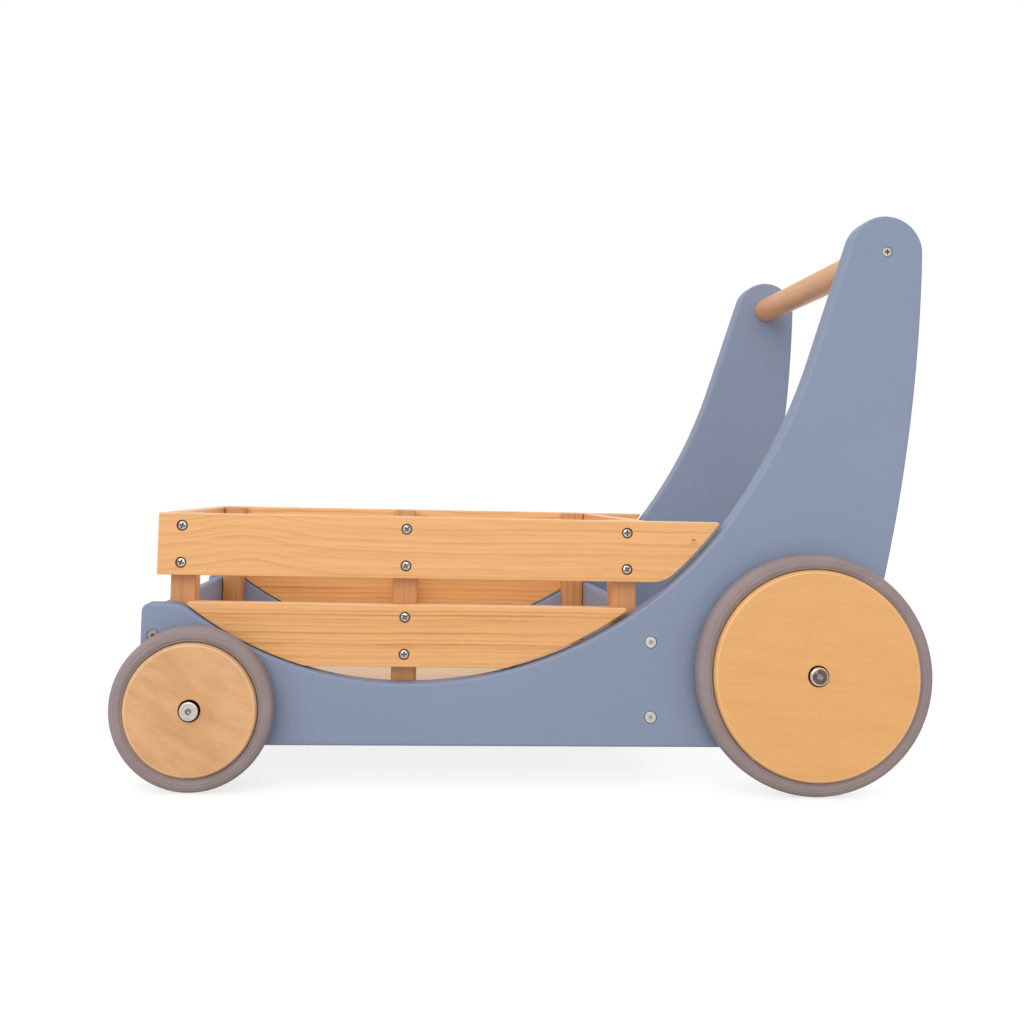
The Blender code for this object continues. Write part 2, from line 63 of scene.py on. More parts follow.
# %% Camera
IMAGE_PIXELS = 1024
FOCAL_PIXELS = 1088.74
SIGHT_PIXEL = (450.92, 408.67)
CAMERA_SPOT = (-0.10059, -0.98923, 0.22445)
CAMERA_YAW, CAMERA_PITCH, CAMERA_ROLL = -0.0446, 0.07315, 0.0194


def camera_axes(yaw, pitch, roll):
    """Right, up and backward directions of a camera that first looks along +Y.
    Yaw turns it about the plumb line, pitch lifts its line of sight, roll tilts it about that line."""
    right = Vector((math.cos(yaw), math.sin(yaw), 0.0))
    ahead = Vector((-math.sin(yaw) * math.cos(pitch), math.cos(yaw) * math.cos(pitch), math.sin(pitch)))
    up = right.cross(ahead)
    return math.cos(roll) * right + math.sin(roll) * up, math.cos(roll) * up - math.sin(roll) * right, -ahead


camera = bpy.data.objects.new("camera", bpy.data.cameras.new("camera"))
scene.collection.objects.link(camera)
camera.data.sensor_width = 36.0
camera.data.lens = FOCAL_PIXELS / IMAGE_PIXELS * camera.data.sensor_width
camera.data.shift_x = (IMAGE_PIXELS / 2 - SIGHT_PIXEL[0]) / IMAGE_PIXELS
camera.data.shift_y = (SIGHT_PIXEL[1] - IMAGE_PIXELS / 2) / IMAGE_PIXELS
axes = Matrix(camera_axes(CAMERA_YAW, CAMERA_PITCH, CAMERA_ROLL)).transposed()
camera.matrix_world = Matrix.Translation(CAMERA_SPOT) @ axes.to_4x4()
scene.camera = camera
print("lens of", round(camera.data.lens, 2), "mm")

# %% [markdown]
# ## Writing node trees
# Every finish below is a tree of nodes. Making nodes one property at a time is long to read, so one small function
# adds a node, sets its properties, and fills its sockets: a value is typed in, another node's output is linked.

# %% Node writing
def put(tree, kind, settings, sockets):
    """Adds a node. Settings are its properties, sockets its inputs by name or number: a value, or an output to link."""
    made = tree.nodes.new("ShaderNode" + kind)
    for key, value in settings.items():
        setattr(made, key, value)
    for key, value in sockets.items():
        if isinstance(value, bpy.types.NodeSocket):
            tree.links.new(value, made.inputs[key])
        else:
            made.inputs[key].default_value = value
    return made


def maths(tree, operation, *values):
    """One step of arithmetic on values that change over the surface."""
    return put(tree, "Math", {"operation": operation}, dict(enumerate(values))).outputs[0]


def ramped(tree, value, low, high, to_low=0.0, to_high=1.0):
    """A soft step: to_low where value is under low, to_high where it is over high, an S-curve between."""
    sockets = {"Value": value, "From Min": low, "From Max": high, "To Min": to_low, "To Max": to_high}
    return put(tree, "MapRange", {"interpolation_type": "SMOOTHSTEP"}, sockets).outputs[0]


def blended(tree, share, first, second, way="MIX"):
    """Two colours mixed by a share from 0 to 1."""
    made = put(tree, "Mix", {"data_type": "RGBA", "blend_type": way}, {0: share, 6: first, 7: second})
    return made.outputs[2]


def colour(red, green, blue):
    """A colour as a screen shows it, 0 to 255, turned into the linear light that shaders work in."""
    share = np.array([red, green, blue]) / 255
    linear = np.where(share <= 0.04045, share / 12.92, ((share + 0.055) / 1.055) ** 2.4)
    return (*linear.tolist(), 1.0)


def new_finish(name):
    """An empty material with its Principled shader and its Object coordinates, in metres."""
    material = bpy.data.materials.new(name)
    material.use_nodes = True
    tree = material.node_tree
    place = put(tree, "TexCoord", {}, {}).outputs["Object"]
    return material, tree, tree.nodes["Principled BSDF"], place


print("a mid grey in linear light:", round(colour(128, 128, 128)[0], 3))

# %% [markdown]
# ## The studio
# The walker stands on a white sweep in soft light, and only a faint shadow keeps it on the ground. A white floor
# could be lit until it is white, but that would also bleach the paint. Here the floor stays a plain pale surface for
# the light that bounces, and only what the camera (or a shiny bolt) sees of it is lifted to white, so its shadow stays.
# Large lamps leave almost no shade where a tyre meets the floor, so the lift is less there: Ambient Occlusion finds
# the places that have something close above them.

# %% World
studio = bpy.data.worlds.new("studio")
scene.world = studio
studio.use_nodes = True
tree = studio.node_tree
tree.nodes.clear()


def seen_directly(tree):
    """1 for rays that leave the camera, or that a mirror or glass sends on, and 0 for light that bounces softly."""
    path = put(tree, "LightPath", {}, {})
    shiny = maths(tree, "MAXIMUM", path.outputs["Is Glossy Ray"], path.outputs["Is Transmission Ray"])
    return maths(tree, "MAXIMUM", path.outputs["Is Camera Ray"], shiny)


WHITE, SKY_STRENGTH = (1.0, 1.0, 1.0, 1.0), 0.66
soft_sky = put(tree, "Background", {}, {"Color": WHITE, "Strength": SKY_STRENGTH})
white_wall = put(tree, "Background", {}, {"Color": WHITE, "Strength": 1.0})
either = put(tree, "MixShader", {}, {0: seen_directly(tree), 1: soft_sky.outputs[0], 2: white_wall.outputs[0]})
put(tree, "OutputWorld", {}, {"Surface": either.outputs[0]})
scene.view_settings.view_transform = "Standard"
print("soft sky of strength", SKY_STRENGTH)

# %% Floor
FLOOR_HALF, FLOOR_LIFT, CONTACT_SHADE, CONTACT_REACH = 20.0, 0.83, 0.12, 0.04
floor_mesh = bpy.data.meshes.new("studio_floor")
corners = FLOOR_HALF * np.array([(-1, -1, 0), (1, -1, 0), (1, 1, 0), (-1, 1, 0)])
floor_mesh.from_pydata(corners.tolist(), [], [(0, 1, 2, 3)])
floor = bpy.data.objects.new("studio_floor", floor_mesh)
scene.collection.objects.link(floor)

white_floor, tree, shader, place = new_finish("white_floor")
tree.nodes.remove(shader)
cloth = put(tree, "TexNoise", {}, {"Vector": place, "Scale": 3.0, "Detail": 2.0}).outputs["Fac"]
pale = blended(tree, cloth, colour(196, 195, 194), colour(201, 200, 199))
plain = put(tree, "BsdfDiffuse", {}, {"Color": pale})
shaded = put(tree, "BsdfDiffuse", {}, {"Color": (0.27, 0.27, 0.27, 1.0)})
free = put(tree, "AmbientOcclusion", {"samples": 8}, {"Distance": CONTACT_REACH}).outputs["AO"]
lift = maths(tree, "MULTIPLY_ADD", free, CONTACT_SHADE, FLOOR_LIFT - CONTACT_SHADE)
lifted = put(tree, "Emission", {}, {"Color": WHITE, "Strength": lift})
seen = put(tree, "AddShader", {}, {0: shaded.outputs[0], 1: lifted.outputs[0]})
either = put(tree, "MixShader", {}, {0: seen_directly(tree), 1: plain.outputs[0], 2: seen.outputs[0]})
tree.links.new(either.outputs[0], tree.nodes["Material Output"].inputs["Surface"])
floor_mesh.materials.append(white_floor)
print("floor of", 2 * FLOOR_HALF, "m")

# %% [markdown]
# ## Lamps
# The light is so soft that no shadow has an edge. It comes from large cloth-fronted lamps: one high at the front left,
# one beside the camera, a weaker one ahead of the walker for the edges that face forward, and one behind for the far
# panel. A bright sky alone would be as soft, but it would give every side of a post the same tone.

# %% Lamps
def soft_box(name, spot, width, watts, aim=(0.0, 0.0, 0.2)):
    """A square cloth-fronted lamp at a spot, pointing at the middle of the crate."""
    lamp = bpy.data.objects.new(name, bpy.data.lights.new(name, "AREA"))
    lamp.data.size = width
    lamp.data.energy = watts
    lamp.location = spot
    lamp.rotation_euler = (Vector(aim) - Vector(spot)).to_track_quat("-Z", "Y").to_euler()
    scene.collection.objects.link(lamp)
    return lamp


lamps = [
    soft_box("key_lamp", (-2.3, -3.9, 3.9), 4.8, 116.0),
    soft_box("fill_lamp", (-0.2, -5.2, 1.5), 3.6, 62.0),
    soft_box("front_lamp", (-5.2, -0.6, 2.2), 3.6, 46.0),
    soft_box("back_lamp", (3.2, 4.2, 2.6), 4.8, 100.0)]
print("lamps in W:", {lamp.name: lamp.data.energy for lamp in lamps})

# %% [markdown]
# ## Boards from outlines
# A sawn board is an outline with a thickness and softened edges. A Bevel modifier could round the edges, but along
# an outline of many short chords it makes pinched corners. Instead the outline carries, next to each point, the
# direction that leads straight out of the board. The rounded edge is then plain arithmetic: step inwards along that
# direction while going through the thickness. Outlines are walked clockwise as seen from the near side.

# %% Arcs and outlines
def arc(centre, radius, start, end, step=4 * MM):
    """Part of an outline: centre + radius (cos a, sin a), with a going from start to end, in radians.
    Rows hold the point and the way out of the board. A falling angle goes round an outer corner, where out is away
    from the centre; a rising angle follows a hollow, where out is towards the centre."""
    turn = abs(end - start)
    count = max(6, math.ceil(turn * radius / step), math.ceil(turn / math.radians(4)))
    angle = np.linspace(start, end, count + 1)
    ray = np.column_stack([np.cos(angle), np.sin(angle)])
    return np.hstack([np.asarray(centre) + radius * ray, ray if end < start else -ray])


def outline(*arcs):
    """Joins arcs into a closed outline. A point that lies on the one before it is dropped."""
    rows = np.vstack(arcs)
    apart = np.linalg.norm(rows[:, :2] - np.roll(rows[:, :2], 1, axis=0), axis=1)
    return rows[apart > 1e-7]


def oblong(low, high, radius):
    """Outline of a rectangle between two corners, with its own corners rounded."""
    left, bottom, right, top = low[0] + radius, low[1] + radius, high[0] - radius, high[1] - radius
    quarter = math.pi / 2
    return outline(
        arc((left, bottom), radius, 3 * quarter, 2 * quarter), arc((left, top), radius, 2 * quarter, quarter),
        arc((right, top), radius, quarter, 0.0), arc((right, bottom), radius, 0.0, -quarter))


print("a rounded rectangle takes", len(oblong((0, 0), (0.2, 0.1), 0.01)), "points")

# %% Slabs
def rings_joined(rows, columns, first=0):
    """Quads between neighbouring rings of a grid whose rings close on themselves."""
    ring, spot = np.meshgrid(np.arange(rows - 1), np.arange(columns), indexing="ij")
    this, after = first + ring * columns, (spot + 1) % columns
    quads = np.stack([this + spot, this + after, this + columns + after, this + columns + spot], -1)
    return quads.reshape(-1, 4)


def flat_cap(rim, holes):
    """Triangles of the flat face inside a rim, less the holes' rims. Points are numbered rim first, then each hole."""
    loops = [rim, *holes]
    starts = np.cumsum([0] + [len(loop) for loop in loops])
    spans = [np.arange(a, b) for a, b in zip(starts, starts[1:])]
    edges = np.vstack([np.column_stack([span, np.roll(span, -1)]) for span in spans])
    points = [Vector(p) for p in (np.vstack(loops) / MM).tolist()]
    found = geometry.delaunay_2d_cdt(points, edges.tolist(), [list(range(len(rim)))], 1, 1e-6)
    triangles = np.array(found[2])
    owner = np.repeat(np.arange(len(loops)), [len(loop) for loop in loops])[triangles]
    inside_hole = (owner[:, 0] > 0) & (owner[:, 0] == owner[:, 1]) & (owner[:, 1] == owner[:, 2])
    return triangles[~inside_hole]


def slab(rim, face, back, edge, drills=(), steps=6, bore_steps=48):
    """A board: S(s, t) = (rim(s) - inset(t) out(s), depth(t)). Inset and depth follow a quarter circle of radius
    edge at both faces. Drills are (u, v, profile), each profile a lathe profile of (radius, depth under the face) that
    ends in the middle of the hole's bottom. Returns points (u, v, depth), faces, and a mask: up to 1 on the rounded
    edge, where the wood finishes paint a highlight, and -1 inside holes, where the finishes paint shade."""
    turn = np.linspace(math.pi / 2, 0.0, steps + 1)
    inset, drop = edge * (1 - np.cos(turn)), edge * (1 - np.sin(turn)) * math.copysign(1, back - face)
    border = [edge + 0.3 * MM]
    insets = np.concatenate([border, inset, inset[::-1], border])
    depths = np.concatenate([[face], face + drop, back - drop[::-1], [back]])
    round_mask = np.concatenate([[0.0], np.sin(2 * turn), np.sin(2 * turn)[::-1], [0.0]])
    grid = np.empty((len(insets), len(rim), 3))
    grid[:, :, :2] = rim[None, :, :2] - insets[:, None, None] * rim[None, :, 2:]
    grid[:, :, 2] = depths[:, None]
    points, masks = [grid.reshape(-1, 3)], [np.repeat(round_mask, len(rim))]
    faces = rings_joined(len(insets), len(rim)).tolist()
    angle = np.linspace(0, 2 * math.pi, bore_steps, endpoint=False)
    ray = np.column_stack([np.cos(angle), np.sin(angle)])
    mouths, count, mouth_ids = [], grid.shape[0] * grid.shape[1], [np.arange(len(rim))]
    for u, v, profile in drills:
        reach, under = np.asarray(profile).T
        bore = np.empty((len(profile), bore_steps, 3))
        bore[:, :, :2] = (u, v) + reach[:, None, None] * ray
        bore[:, :, 2] = face + (under * math.copysign(1, back - face))[:, None]
        points.append(bore.reshape(-1, 3))
        masks.append(np.repeat([0.0] + [-1.0] * (len(profile) - 1), bore_steps))
        faces += rings_joined(len(profile), bore_steps, count).tolist()
        mouths.append(bore[0, :, :2])
        mouth_ids.append(count + np.arange(bore_steps))
        count += bore.shape[0] * bore_steps
    faces += np.concatenate(mouth_ids)[flat_cap(grid[0, :, :2], mouths)].tolist()
    faces += ((len(insets) - 1) * len(rim) + flat_cap(grid[-1, :, :2], [])).tolist()
    return np.vstack(points), faces, np.concatenate(masks)


trial = slab(oblong((0, 0), (0.2, 0.1), 0.01), 0.02, 0.0, 2 * MM)
print("a trial slab has", len(trial[0]), "points and", len(trial[1]), "faces")

# %% [markdown]
# ## From arrays to objects
# Each piece is worked out flat, as (u, v, depth), because that is how a board is drawn. One function stands it up on
# the side, the end or the level of the walker where it belongs. Turning and moving the object would be shorter, but
# its wood grain would then turn and slide with it, so the place goes into the mesh.

# %% Putting a piece into the scene
def stand(facing, points, at=(0.0, 0.0)):
    """Turns (u, v, depth) into metres of the walker. A side piece faces out to the left (-1) or right (1), an end
    piece to the front (-1) or rear (1) with its depth counted from the middle post, a flat piece lies level."""
    way, sign = facing
    u, v, depth = points[:, 0] + at[0], points[:, 1] + at[1], points[:, 2]
    if way == "side":
        return np.column_stack([u, sign * depth, v])
    if way == "end":
        return np.column_stack([MIDDLE_X + sign * depth, u, v])
    return np.column_stack([u, v, depth])


def piece(name, points, faces, finish, body, nodes, mask=None):
    """Makes one closed mesh with all faces outwards, smooth except over real corners, and lets it ride on a body."""
    mesh = bpy.data.meshes.new(name)
    mesh.from_pydata(points.tolist(), [], faces)
    edge = mesh.attributes.new("edge", "FLOAT", "POINT")
    edge.data.foreach_set("value", (np.zeros(len(points)) if mask is None else mask).astype(np.float32))
    shape = bmesh.new()
    shape.from_mesh(mesh)
    bmesh.ops.remove_doubles(shape, verts=shape.verts, dist=1e-6)
    bmesh.ops.recalc_face_normals(shape, faces=shape.faces)
    open_edges = sum(1 for line in shape.edges if not line.is_manifold)
    shape.to_mesh(mesh)
    shape.free()
    mesh.polygons.foreach_set("use_smooth", np.ones(len(mesh.polygons), bool))
    mesh.set_sharp_from_angle(angle=math.radians(32))
    mesh.materials.append(finish)
    made = bpy.data.objects.new(name, mesh)
    scene.collection.objects.link(made)
    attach(made, body)
    if nodes:
        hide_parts(*nodes)
    if open_edges:
        print("  open edges on", name, open_edges)
    return made


middle_low, middle_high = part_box("left_middle_post")
MIDDLE_X = (middle_low.x + middle_high.x) / 2
SIDES = (("left", -1), ("right", 1))
ENDS = (("front", -1), ("rear", 1))
print("middle posts at x =", round(MIDDLE_X / MM, 2), "mm")

# %% [markdown]
# ## Satin paint
# The panels and the two cross boards are sprayed slate blue. Sprayed paint is never quite even: it clouds a little,
# its skin has a fine orange-peel ripple, and it is a touch cooler where it runs thin over a rounded edge. A flat colour
# would look like plastic, so a node group puts the clouds and the edges into the colour, and the ripple into the
# roughness and the height.

# %% Node groups: a shared recipe with named sockets
def new_group(name, takes, gives):
    """An empty node group. Takes and gives are {socket name: kind or (kind, default)}. Returns tree, inputs, output."""
    tree = bpy.data.node_groups.new(name, "ShaderNodeTree")
    for key, kind in takes.items():
        kind, default = kind if isinstance(kind, tuple) else (kind, None)
        socket = tree.interface.new_socket(name=key, in_out="INPUT", socket_type="NodeSocket" + kind)
        if default is not None:
            socket.default_value = default
    for key, kind in gives.items():
        tree.interface.new_socket(name=key, in_out="OUTPUT", socket_type="NodeSocket" + kind)
    return tree, tree.nodes.new("NodeGroupInput").outputs, tree.nodes.new("NodeGroupOutput").inputs


def give(tree, outlets, **values):
    """Links results to the group's outputs."""
    for key, value in values.items():
        tree.links.new(value, outlets[key])


def stretched(tree, vector, along, across, detail=2.0, seed=0.0, rough=0.5):
    """Noise drawn out along the first axis: its spots are 1/along long and 1/across wide, in metres."""
    longer = put(tree, "VectorMath", {"operation": "MULTIPLY"}, {0: vector, 1: (along, across, across)}).outputs[0]
    sockets = {"Vector": longer, "W": seed, "Scale": 1.0, "Detail": detail, "Roughness": rough}
    return put(tree, "TexNoise", {"noise_dimensions": "4D"}, sockets)


def shaded_by(tree, shade, paint):
    """A colour times a value that changes over the surface."""
    grey = put(tree, "CombineColor", {}, {0: shade, 1: shade, 2: shade}).outputs[0]
    return blended(tree, 1.0, paint, grey, "MULTIPLY")


SKIN_OUTPUTS = {"Colour": "Color", "Roughness": "Float", "Height": "Float"}
tree, takes, gives = new_group(
    "sprayed_skin", {"Vector": "Vector", "Colour": "Color", "Edge Colour": "Color", "Edge": "Float"}, SKIN_OUTPUTS)
cloud = stretched(tree, takes["Vector"], 11.0, 11.0, 3.0).outputs["Fac"]
drops = stretched(tree, takes["Vector"], 420.0, 420.0, 2.0, 3.0).outputs["Fac"]
peel = stretched(tree, takes["Vector"], 950.0, 950.0, 1.0, 5.0).outputs["Fac"]
shade = maths(tree, "ADD", ramped(tree, cloud, 0.3, 0.7, 0.98, 1.01), maths(tree, "MULTIPLY_ADD", drops, 0.012, -0.006))
# Painted shade: the paint darkens down to 0.3 inside the bolt holes, where the mask is under 0.
shade = maths(tree, "MULTIPLY", shade, ramped(tree, takes["Edge"], -1.0, 0.0, 0.3, 1.0))
clouded = shaded_by(tree, shade, takes["Colour"])
thin = maths(tree, "MULTIPLY", takes["Edge"], ramped(tree, drops, 0.25, 0.75, 0.25, 0.6))
satin = maths(tree, "ADD", ramped(tree, cloud, 0.3, 0.7, 0.52, 0.57), maths(tree, "MULTIPLY_ADD", peel, 0.06, -0.03))
give(
    tree, gives, Colour=blended(tree, thin, clouded, takes["Edge Colour"]), Roughness=satin,
    Height=maths(tree, "ADD", peel, maths(tree, "MULTIPLY", drops, 0.6)))
sprayed_skin = tree
print("group", tree.name, "with", len(tree.nodes), "nodes")

# %% Slate paint
def use_group(tree, group, sockets):
    """Places a node group in a material and fills its inputs."""
    return put(tree, "Group", {"node_tree": group}, sockets).outputs


def edge_mask(tree):
    """The mask that a piece's mesh carries: up to 1 on rounded edges, under 0 in holes and sockets. The wood finishes
    paint a highlight from its edges, and every finish paints shade from its holes and sockets.
    """
    return put(tree, "Attribute", {"attribute_name": "edge"}, {}).outputs["Fac"]


def dress(tree, shader, skin, depth, distance=0.1 * MM):
    """Links a group's colour, roughness and height to a Principled shader. Depth is the strength of the bump."""
    tree.links.new(skin["Colour"], shader.inputs["Base Color"])
    tree.links.new(skin["Roughness"], shader.inputs["Roughness"])
    bump = put(tree, "Bump", {}, {"Strength": depth, "Distance": distance, "Height": skin["Height"]})
    tree.links.new(bump.outputs[0], shader.inputs["Normal"])


slate_paint, tree, shader, place = new_finish("slate_paint")
SLATE, EDGE_SLATE = colour(139, 150, 174), colour(138, 150, 175)
skin = use_group(tree, sprayed_skin, {
    "Vector": place, "Colour": SLATE, "Edge Colour": EDGE_SLATE, "Edge": edge_mask(tree)})
dress(tree, shader, skin, 0.12, 0.05 * MM)
shader.inputs["Specular IOR Level"].default_value = 0.2
print("finish", slate_paint.name)

# %% [markdown]
# ## The side panels
# Each panel is one sawn board: a low shoulder over the front wheel, a hollow sweep that the crate shows through, and
# an arm that leans back to a round top. The curve is a chain of circle arcs that touch without a corner, because that
# is how such a toy is drawn and routed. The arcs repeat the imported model's own sizes.

# %% Panel outline
PANEL_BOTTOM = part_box("left_side_panel")[0].z
SHOULDER_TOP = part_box("front_cross_board")[1].z
PANEL_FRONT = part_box("left_side_panel")[0].x
SWEEP_LOW, REAR_SWEEP, SHOULDER_AHEAD, SHOULDER_ROUND = 0.0765, 0.311, 0.1770, 0.025
FRONT_CORNER, LOW_CORNER, BOTTOM_RISE = 6.0 * MM, 12.0 * MM, 2.2 * MM
ARM_SOFTER, ARM_STANDOFF, ARM_LEAN = 0.159, 7.5 * MM, math.radians(18.3)
REAR_EDGE, REAR_TURN = 1.350, math.radians(1.9)
sweep_depth = SHOULDER_TOP - SWEEP_LOW
FRONT_SWEEP = (SHOULDER_AHEAD ** 2 + sweep_depth ** 2) / (2 * sweep_depth) - SHOULDER_ROUND
front_sweep_centre = np.array([MIDDLE_X, SWEEP_LOW + FRONT_SWEEP])
rear_sweep_centre = np.array([MIDDLE_X, SWEEP_LOW + REAR_SWEEP])
handle_low, handle_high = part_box("handle_bar")
handle_spot = np.array([(handle_low.x + handle_high.x) / 2, (handle_low.z + handle_high.z) / 2])
ARM_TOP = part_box("left_side_panel")[1].z - handle_spot[1]


def bearing(step):
    """Angle of a step (u, v), anticlockwise from u."""
    return math.atan2(step[1], step[0])


def panel_outline():
    """Front corners, shoulder, front sweep, rear sweep, the arm's flatter curve, its round top, the rear edge and the
    lower corner, each an arc that starts in the direction where the one before it ends."""
    quarter, along = math.pi / 2, math.pi - ARM_LEAN
    lower = np.array([PANEL_FRONT + FRONT_CORNER, PANEL_BOTTOM + FRONT_CORNER])
    upper = np.array([PANEL_FRONT + FRONT_CORNER, SHOULDER_TOP - FRONT_CORNER])
    shoulder = np.array([MIDDLE_X - SHOULDER_AHEAD, SHOULDER_TOP - SHOULDER_ROUND])
    inward = along - math.acos(1 - ARM_STANDOFF / ARM_SOFTER)
    arm_centre = rear_sweep_centre + ARM_SOFTER * np.array([math.cos(inward), math.sin(inward)])
    rear_centre = handle_spot - (REAR_EDGE - ARM_TOP) * np.array([math.cos(REAR_TURN), -math.sin(REAR_TURN)])
    fall = PANEL_BOTTOM + BOTTOM_RISE + LOW_CORNER - rear_centre[1]
    foot = rear_centre + np.array([math.sqrt((REAR_EDGE - LOW_CORNER) ** 2 - fall ** 2), fall])
    return outline(
        arc(lower, FRONT_CORNER, 3 * quarter, 2 * quarter), arc(upper, FRONT_CORNER, 2 * quarter, quarter),
        arc(shoulder, SHOULDER_ROUND, quarter, bearing(front_sweep_centre - shoulder)),
        arc(front_sweep_centre, FRONT_SWEEP, bearing(shoulder - front_sweep_centre) + 2 * math.pi, 3 * quarter),
        arc(rear_sweep_centre, REAR_SWEEP, 3 * quarter, inward + math.pi),
        arc(arm_centre, REAR_SWEEP + ARM_SOFTER, inward + math.pi, along + math.pi),
        arc(handle_spot, ARM_TOP, along, -REAR_TURN),
        arc(rear_centre, REAR_EDGE, -REAR_TURN, bearing(foot - rear_centre)),
        arc(foot, LOW_CORNER, bearing(foot - rear_centre), -quarter))


panel_rim = panel_outline()
print("panel outline of", len(panel_rim), "points,", np.round(np.ptp(panel_rim[:, :2], axis=0) / MM, 1), "mm")

# %% Side panels with the holes for their bolts
PANEL_IN, PANEL_OUT, PANEL_EDGE = 0.135, 0.153, 2.0 * MM


def sink(mouth, bottom, depth, broken=0.12 * MM):
    """Lathe profile of a flat-bottomed hole with a broken edge, from its mouth to the middle of its bottom."""
    return [(mouth, 0.0), (mouth - broken, broken), (bottom, depth - broken), (bottom - broken, depth), (0.0, depth)]


def box_middle(node):
    """Middle of a node's box along the walker and upwards."""
    low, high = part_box(node)
    return (low.x + high.x) / 2, (low.z + high.z) / 2


BOARD_BOLTS = [f"{end}_{level}_board_bolt" for end, _ in ENDS for level in ("upper", "lower")]
BOLT_SINK, HANDLE_SINK = sink(4.8 * MM, 4.7 * MM, 2.4 * MM), sink(4.2 * MM, 4.1 * MM, 1.8 * MM)
for side, sign in SIDES:
    drills = [(*box_middle(f"{side}_{bolt}"), BOLT_SINK) for bolt in BOARD_BOLTS]
    drills.append((*box_middle(f"{side}_handle_screw"), HANDLE_SINK))
    points, faces, mask = slab(panel_rim, PANEL_OUT, PANEL_IN, PANEL_EDGE, drills)
    made = piece(f"{side}_panel", stand(("side", sign), points), faces, slate_paint,
                 "frame", [f"{side}_side_panel"], mask)
    print(made.name, len(made.data.polygons), "faces")

# %% [markdown]
# ## The cross boards
# Two painted boards tie the panels together under the crate. Their inner top edge is softened, and their outer top edge
# is cut back at a slant, so that no corner stands above the panels. A slab with one edge radius cannot do that, so here
# the outline is the board's cross-section and the thickness runs across the walker, from panel to panel.

# %% Cross boards
BOARD_TOP, BOARD_SLANT = 0.1318, 8.0 * MM


def board_section(inner, outer, bottom):
    """Cross-section of a board whose inner top edge is rounded and whose outer top edge is slanted at 45 degrees.
    It is drawn with its inner face on the left, and turned round for the front board."""
    way, wide = math.copysign(1, outer - inner), abs(outer - inner)
    small, soft, eighth = 2.0 * MM, 2.6 * MM, math.pi / 4
    cut = BOARD_SLANT + 0.4 * small
    rows = outline(
        arc((soft, BOARD_TOP - soft), soft, 4 * eighth, 2 * eighth),
        arc((wide - cut, BOARD_TOP - small), small, 2 * eighth, eighth),
        arc((wide - small, BOARD_TOP - cut), small, eighth, 0.0),
        arc((wide - small, bottom + small), small, 0.0, -2 * eighth),
        arc((small, bottom + small), small, 6 * eighth, 4 * eighth))
    rows = rows * (way, 1, way, 1) + (inner, 0, 0, 0)
    return rows if way > 0 else rows[::-1]


for end, sign in ENDS:
    low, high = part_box(f"{end}_cross_board")
    rim = board_section(*((low.x, high.x) if sign > 0 else (high.x, low.x)), low.z)
    points, faces, mask = slab(rim, high.y, low.y, 0.8 * MM)
    made = piece(f"{end}_board", stand(("side", 1), points), faces, slate_paint,
                 "frame", [f"{end}_cross_board"], 0 * mask)
    print(made.name, [round((b - a) / MM, 1) for a, b in zip(low, high)], "mm")

# %% [markdown]
# ## Lacquered pine
# The crate is pine. Its lines are year rings, each a pale band that darkens to a thin line and ends sharply, cut
# lengthwise by the saw. Drawing lines straight onto the face would give the same lines on every side. Instead the
# group makes the tree: the distance from a pith line is divided into rings, slow noise bends them, and each face of
# the board cuts through that solid. Fine fibres and short resin marks lie on top.

# %% Pine group: the rings
# A pale cream for the painted highlight on rounded wood edges.
HIGHLIGHT_CREAM = colour(255, 230, 200)
tree, takes, gives = new_group(
    "year_rings",
    {"Vector": "Vector", "Ring": ("Float", 5 * MM), "Wander": ("Float", 2 * MM), "Hump": ("Float", 0.0),
     "Hump At": ("Float", 0.0), "Hump Reach": ("Float", 0.05), "Knot At": ("Vector", (9.0, 9.0, 9.0)),
     "Knot Reach": ("Float", 2 * MM), "Strength": ("Float", 0.8), "Seed": ("Float", 0.0),
     "Early": "Color", "Late": "Color", "Edge": "Float"}, SKIN_OUTPUTS)


def bell(tree, distance, reach):
    """1 where a distance is 0, falling to nothing a few reaches away: exp(-(distance / reach)^2)."""
    share = maths(tree, "DIVIDE", distance, reach)
    return maths(tree, "EXPONENT", maths(tree, "MULTIPLY", maths(tree, "MULTIPLY", share, share), -1.0))


def painted_edge_highlight(tree, edge, wood):
    """Wood with a painted highlight: its rounded edges are blended a little towards a pale cream, as if light caught
    them.
    """
    return blended(tree, maths(tree, "MULTIPLY", maths(tree, "MAXIMUM", edge, 0.0), 0.32), wood, HIGHLIGHT_CREAM)


apart = put(tree, "SeparateXYZ", {}, {0: takes["Vector"]}).outputs
slow = stretched(tree, takes["Vector"], 5.0, 14.0, 3.0, takes["Seed"]).outputs["Color"]
slow = put(tree, "SeparateColor", {}, {0: slow}).outputs
swing = maths(tree, "MULTIPLY", takes["Wander"], 2.0)
to_knot = put(tree, "VectorMath", {"operation": "SUBTRACT"}, {0: takes["Vector"], 1: takes["Knot At"]}).outputs[0]
to_knot = put(tree, "VectorMath", {"operation": "MULTIPLY"}, {0: to_knot, 1: (0.6, 0.3, 1.0)}).outputs[0]
knot_far = put(tree, "VectorMath", {"operation": "LENGTH"}, {0: to_knot}).outputs["Value"]
knot_swell = bell(tree, knot_far, maths(tree, "MULTIPLY", takes["Knot Reach"], 3.0))
swell = bell(tree, maths(tree, "SUBTRACT", apart[0], takes["Hump At"]), takes["Hump Reach"])
risen = maths(tree, "SUBTRACT", apart[2], maths(tree, "MULTIPLY", takes["Hump"], swell))
risen = maths(tree, "SUBTRACT", risen, maths(tree, "MULTIPLY", knot_swell, 2.5 * MM))
across = maths(tree, "ADD", risen, maths(tree, "MULTIPLY", maths(tree, "SUBTRACT", slow[0], 0.5), swing))
through = maths(tree, "ADD", apart[1], maths(tree, "MULTIPLY", maths(tree, "SUBTRACT", slow[1], 0.5), swing))
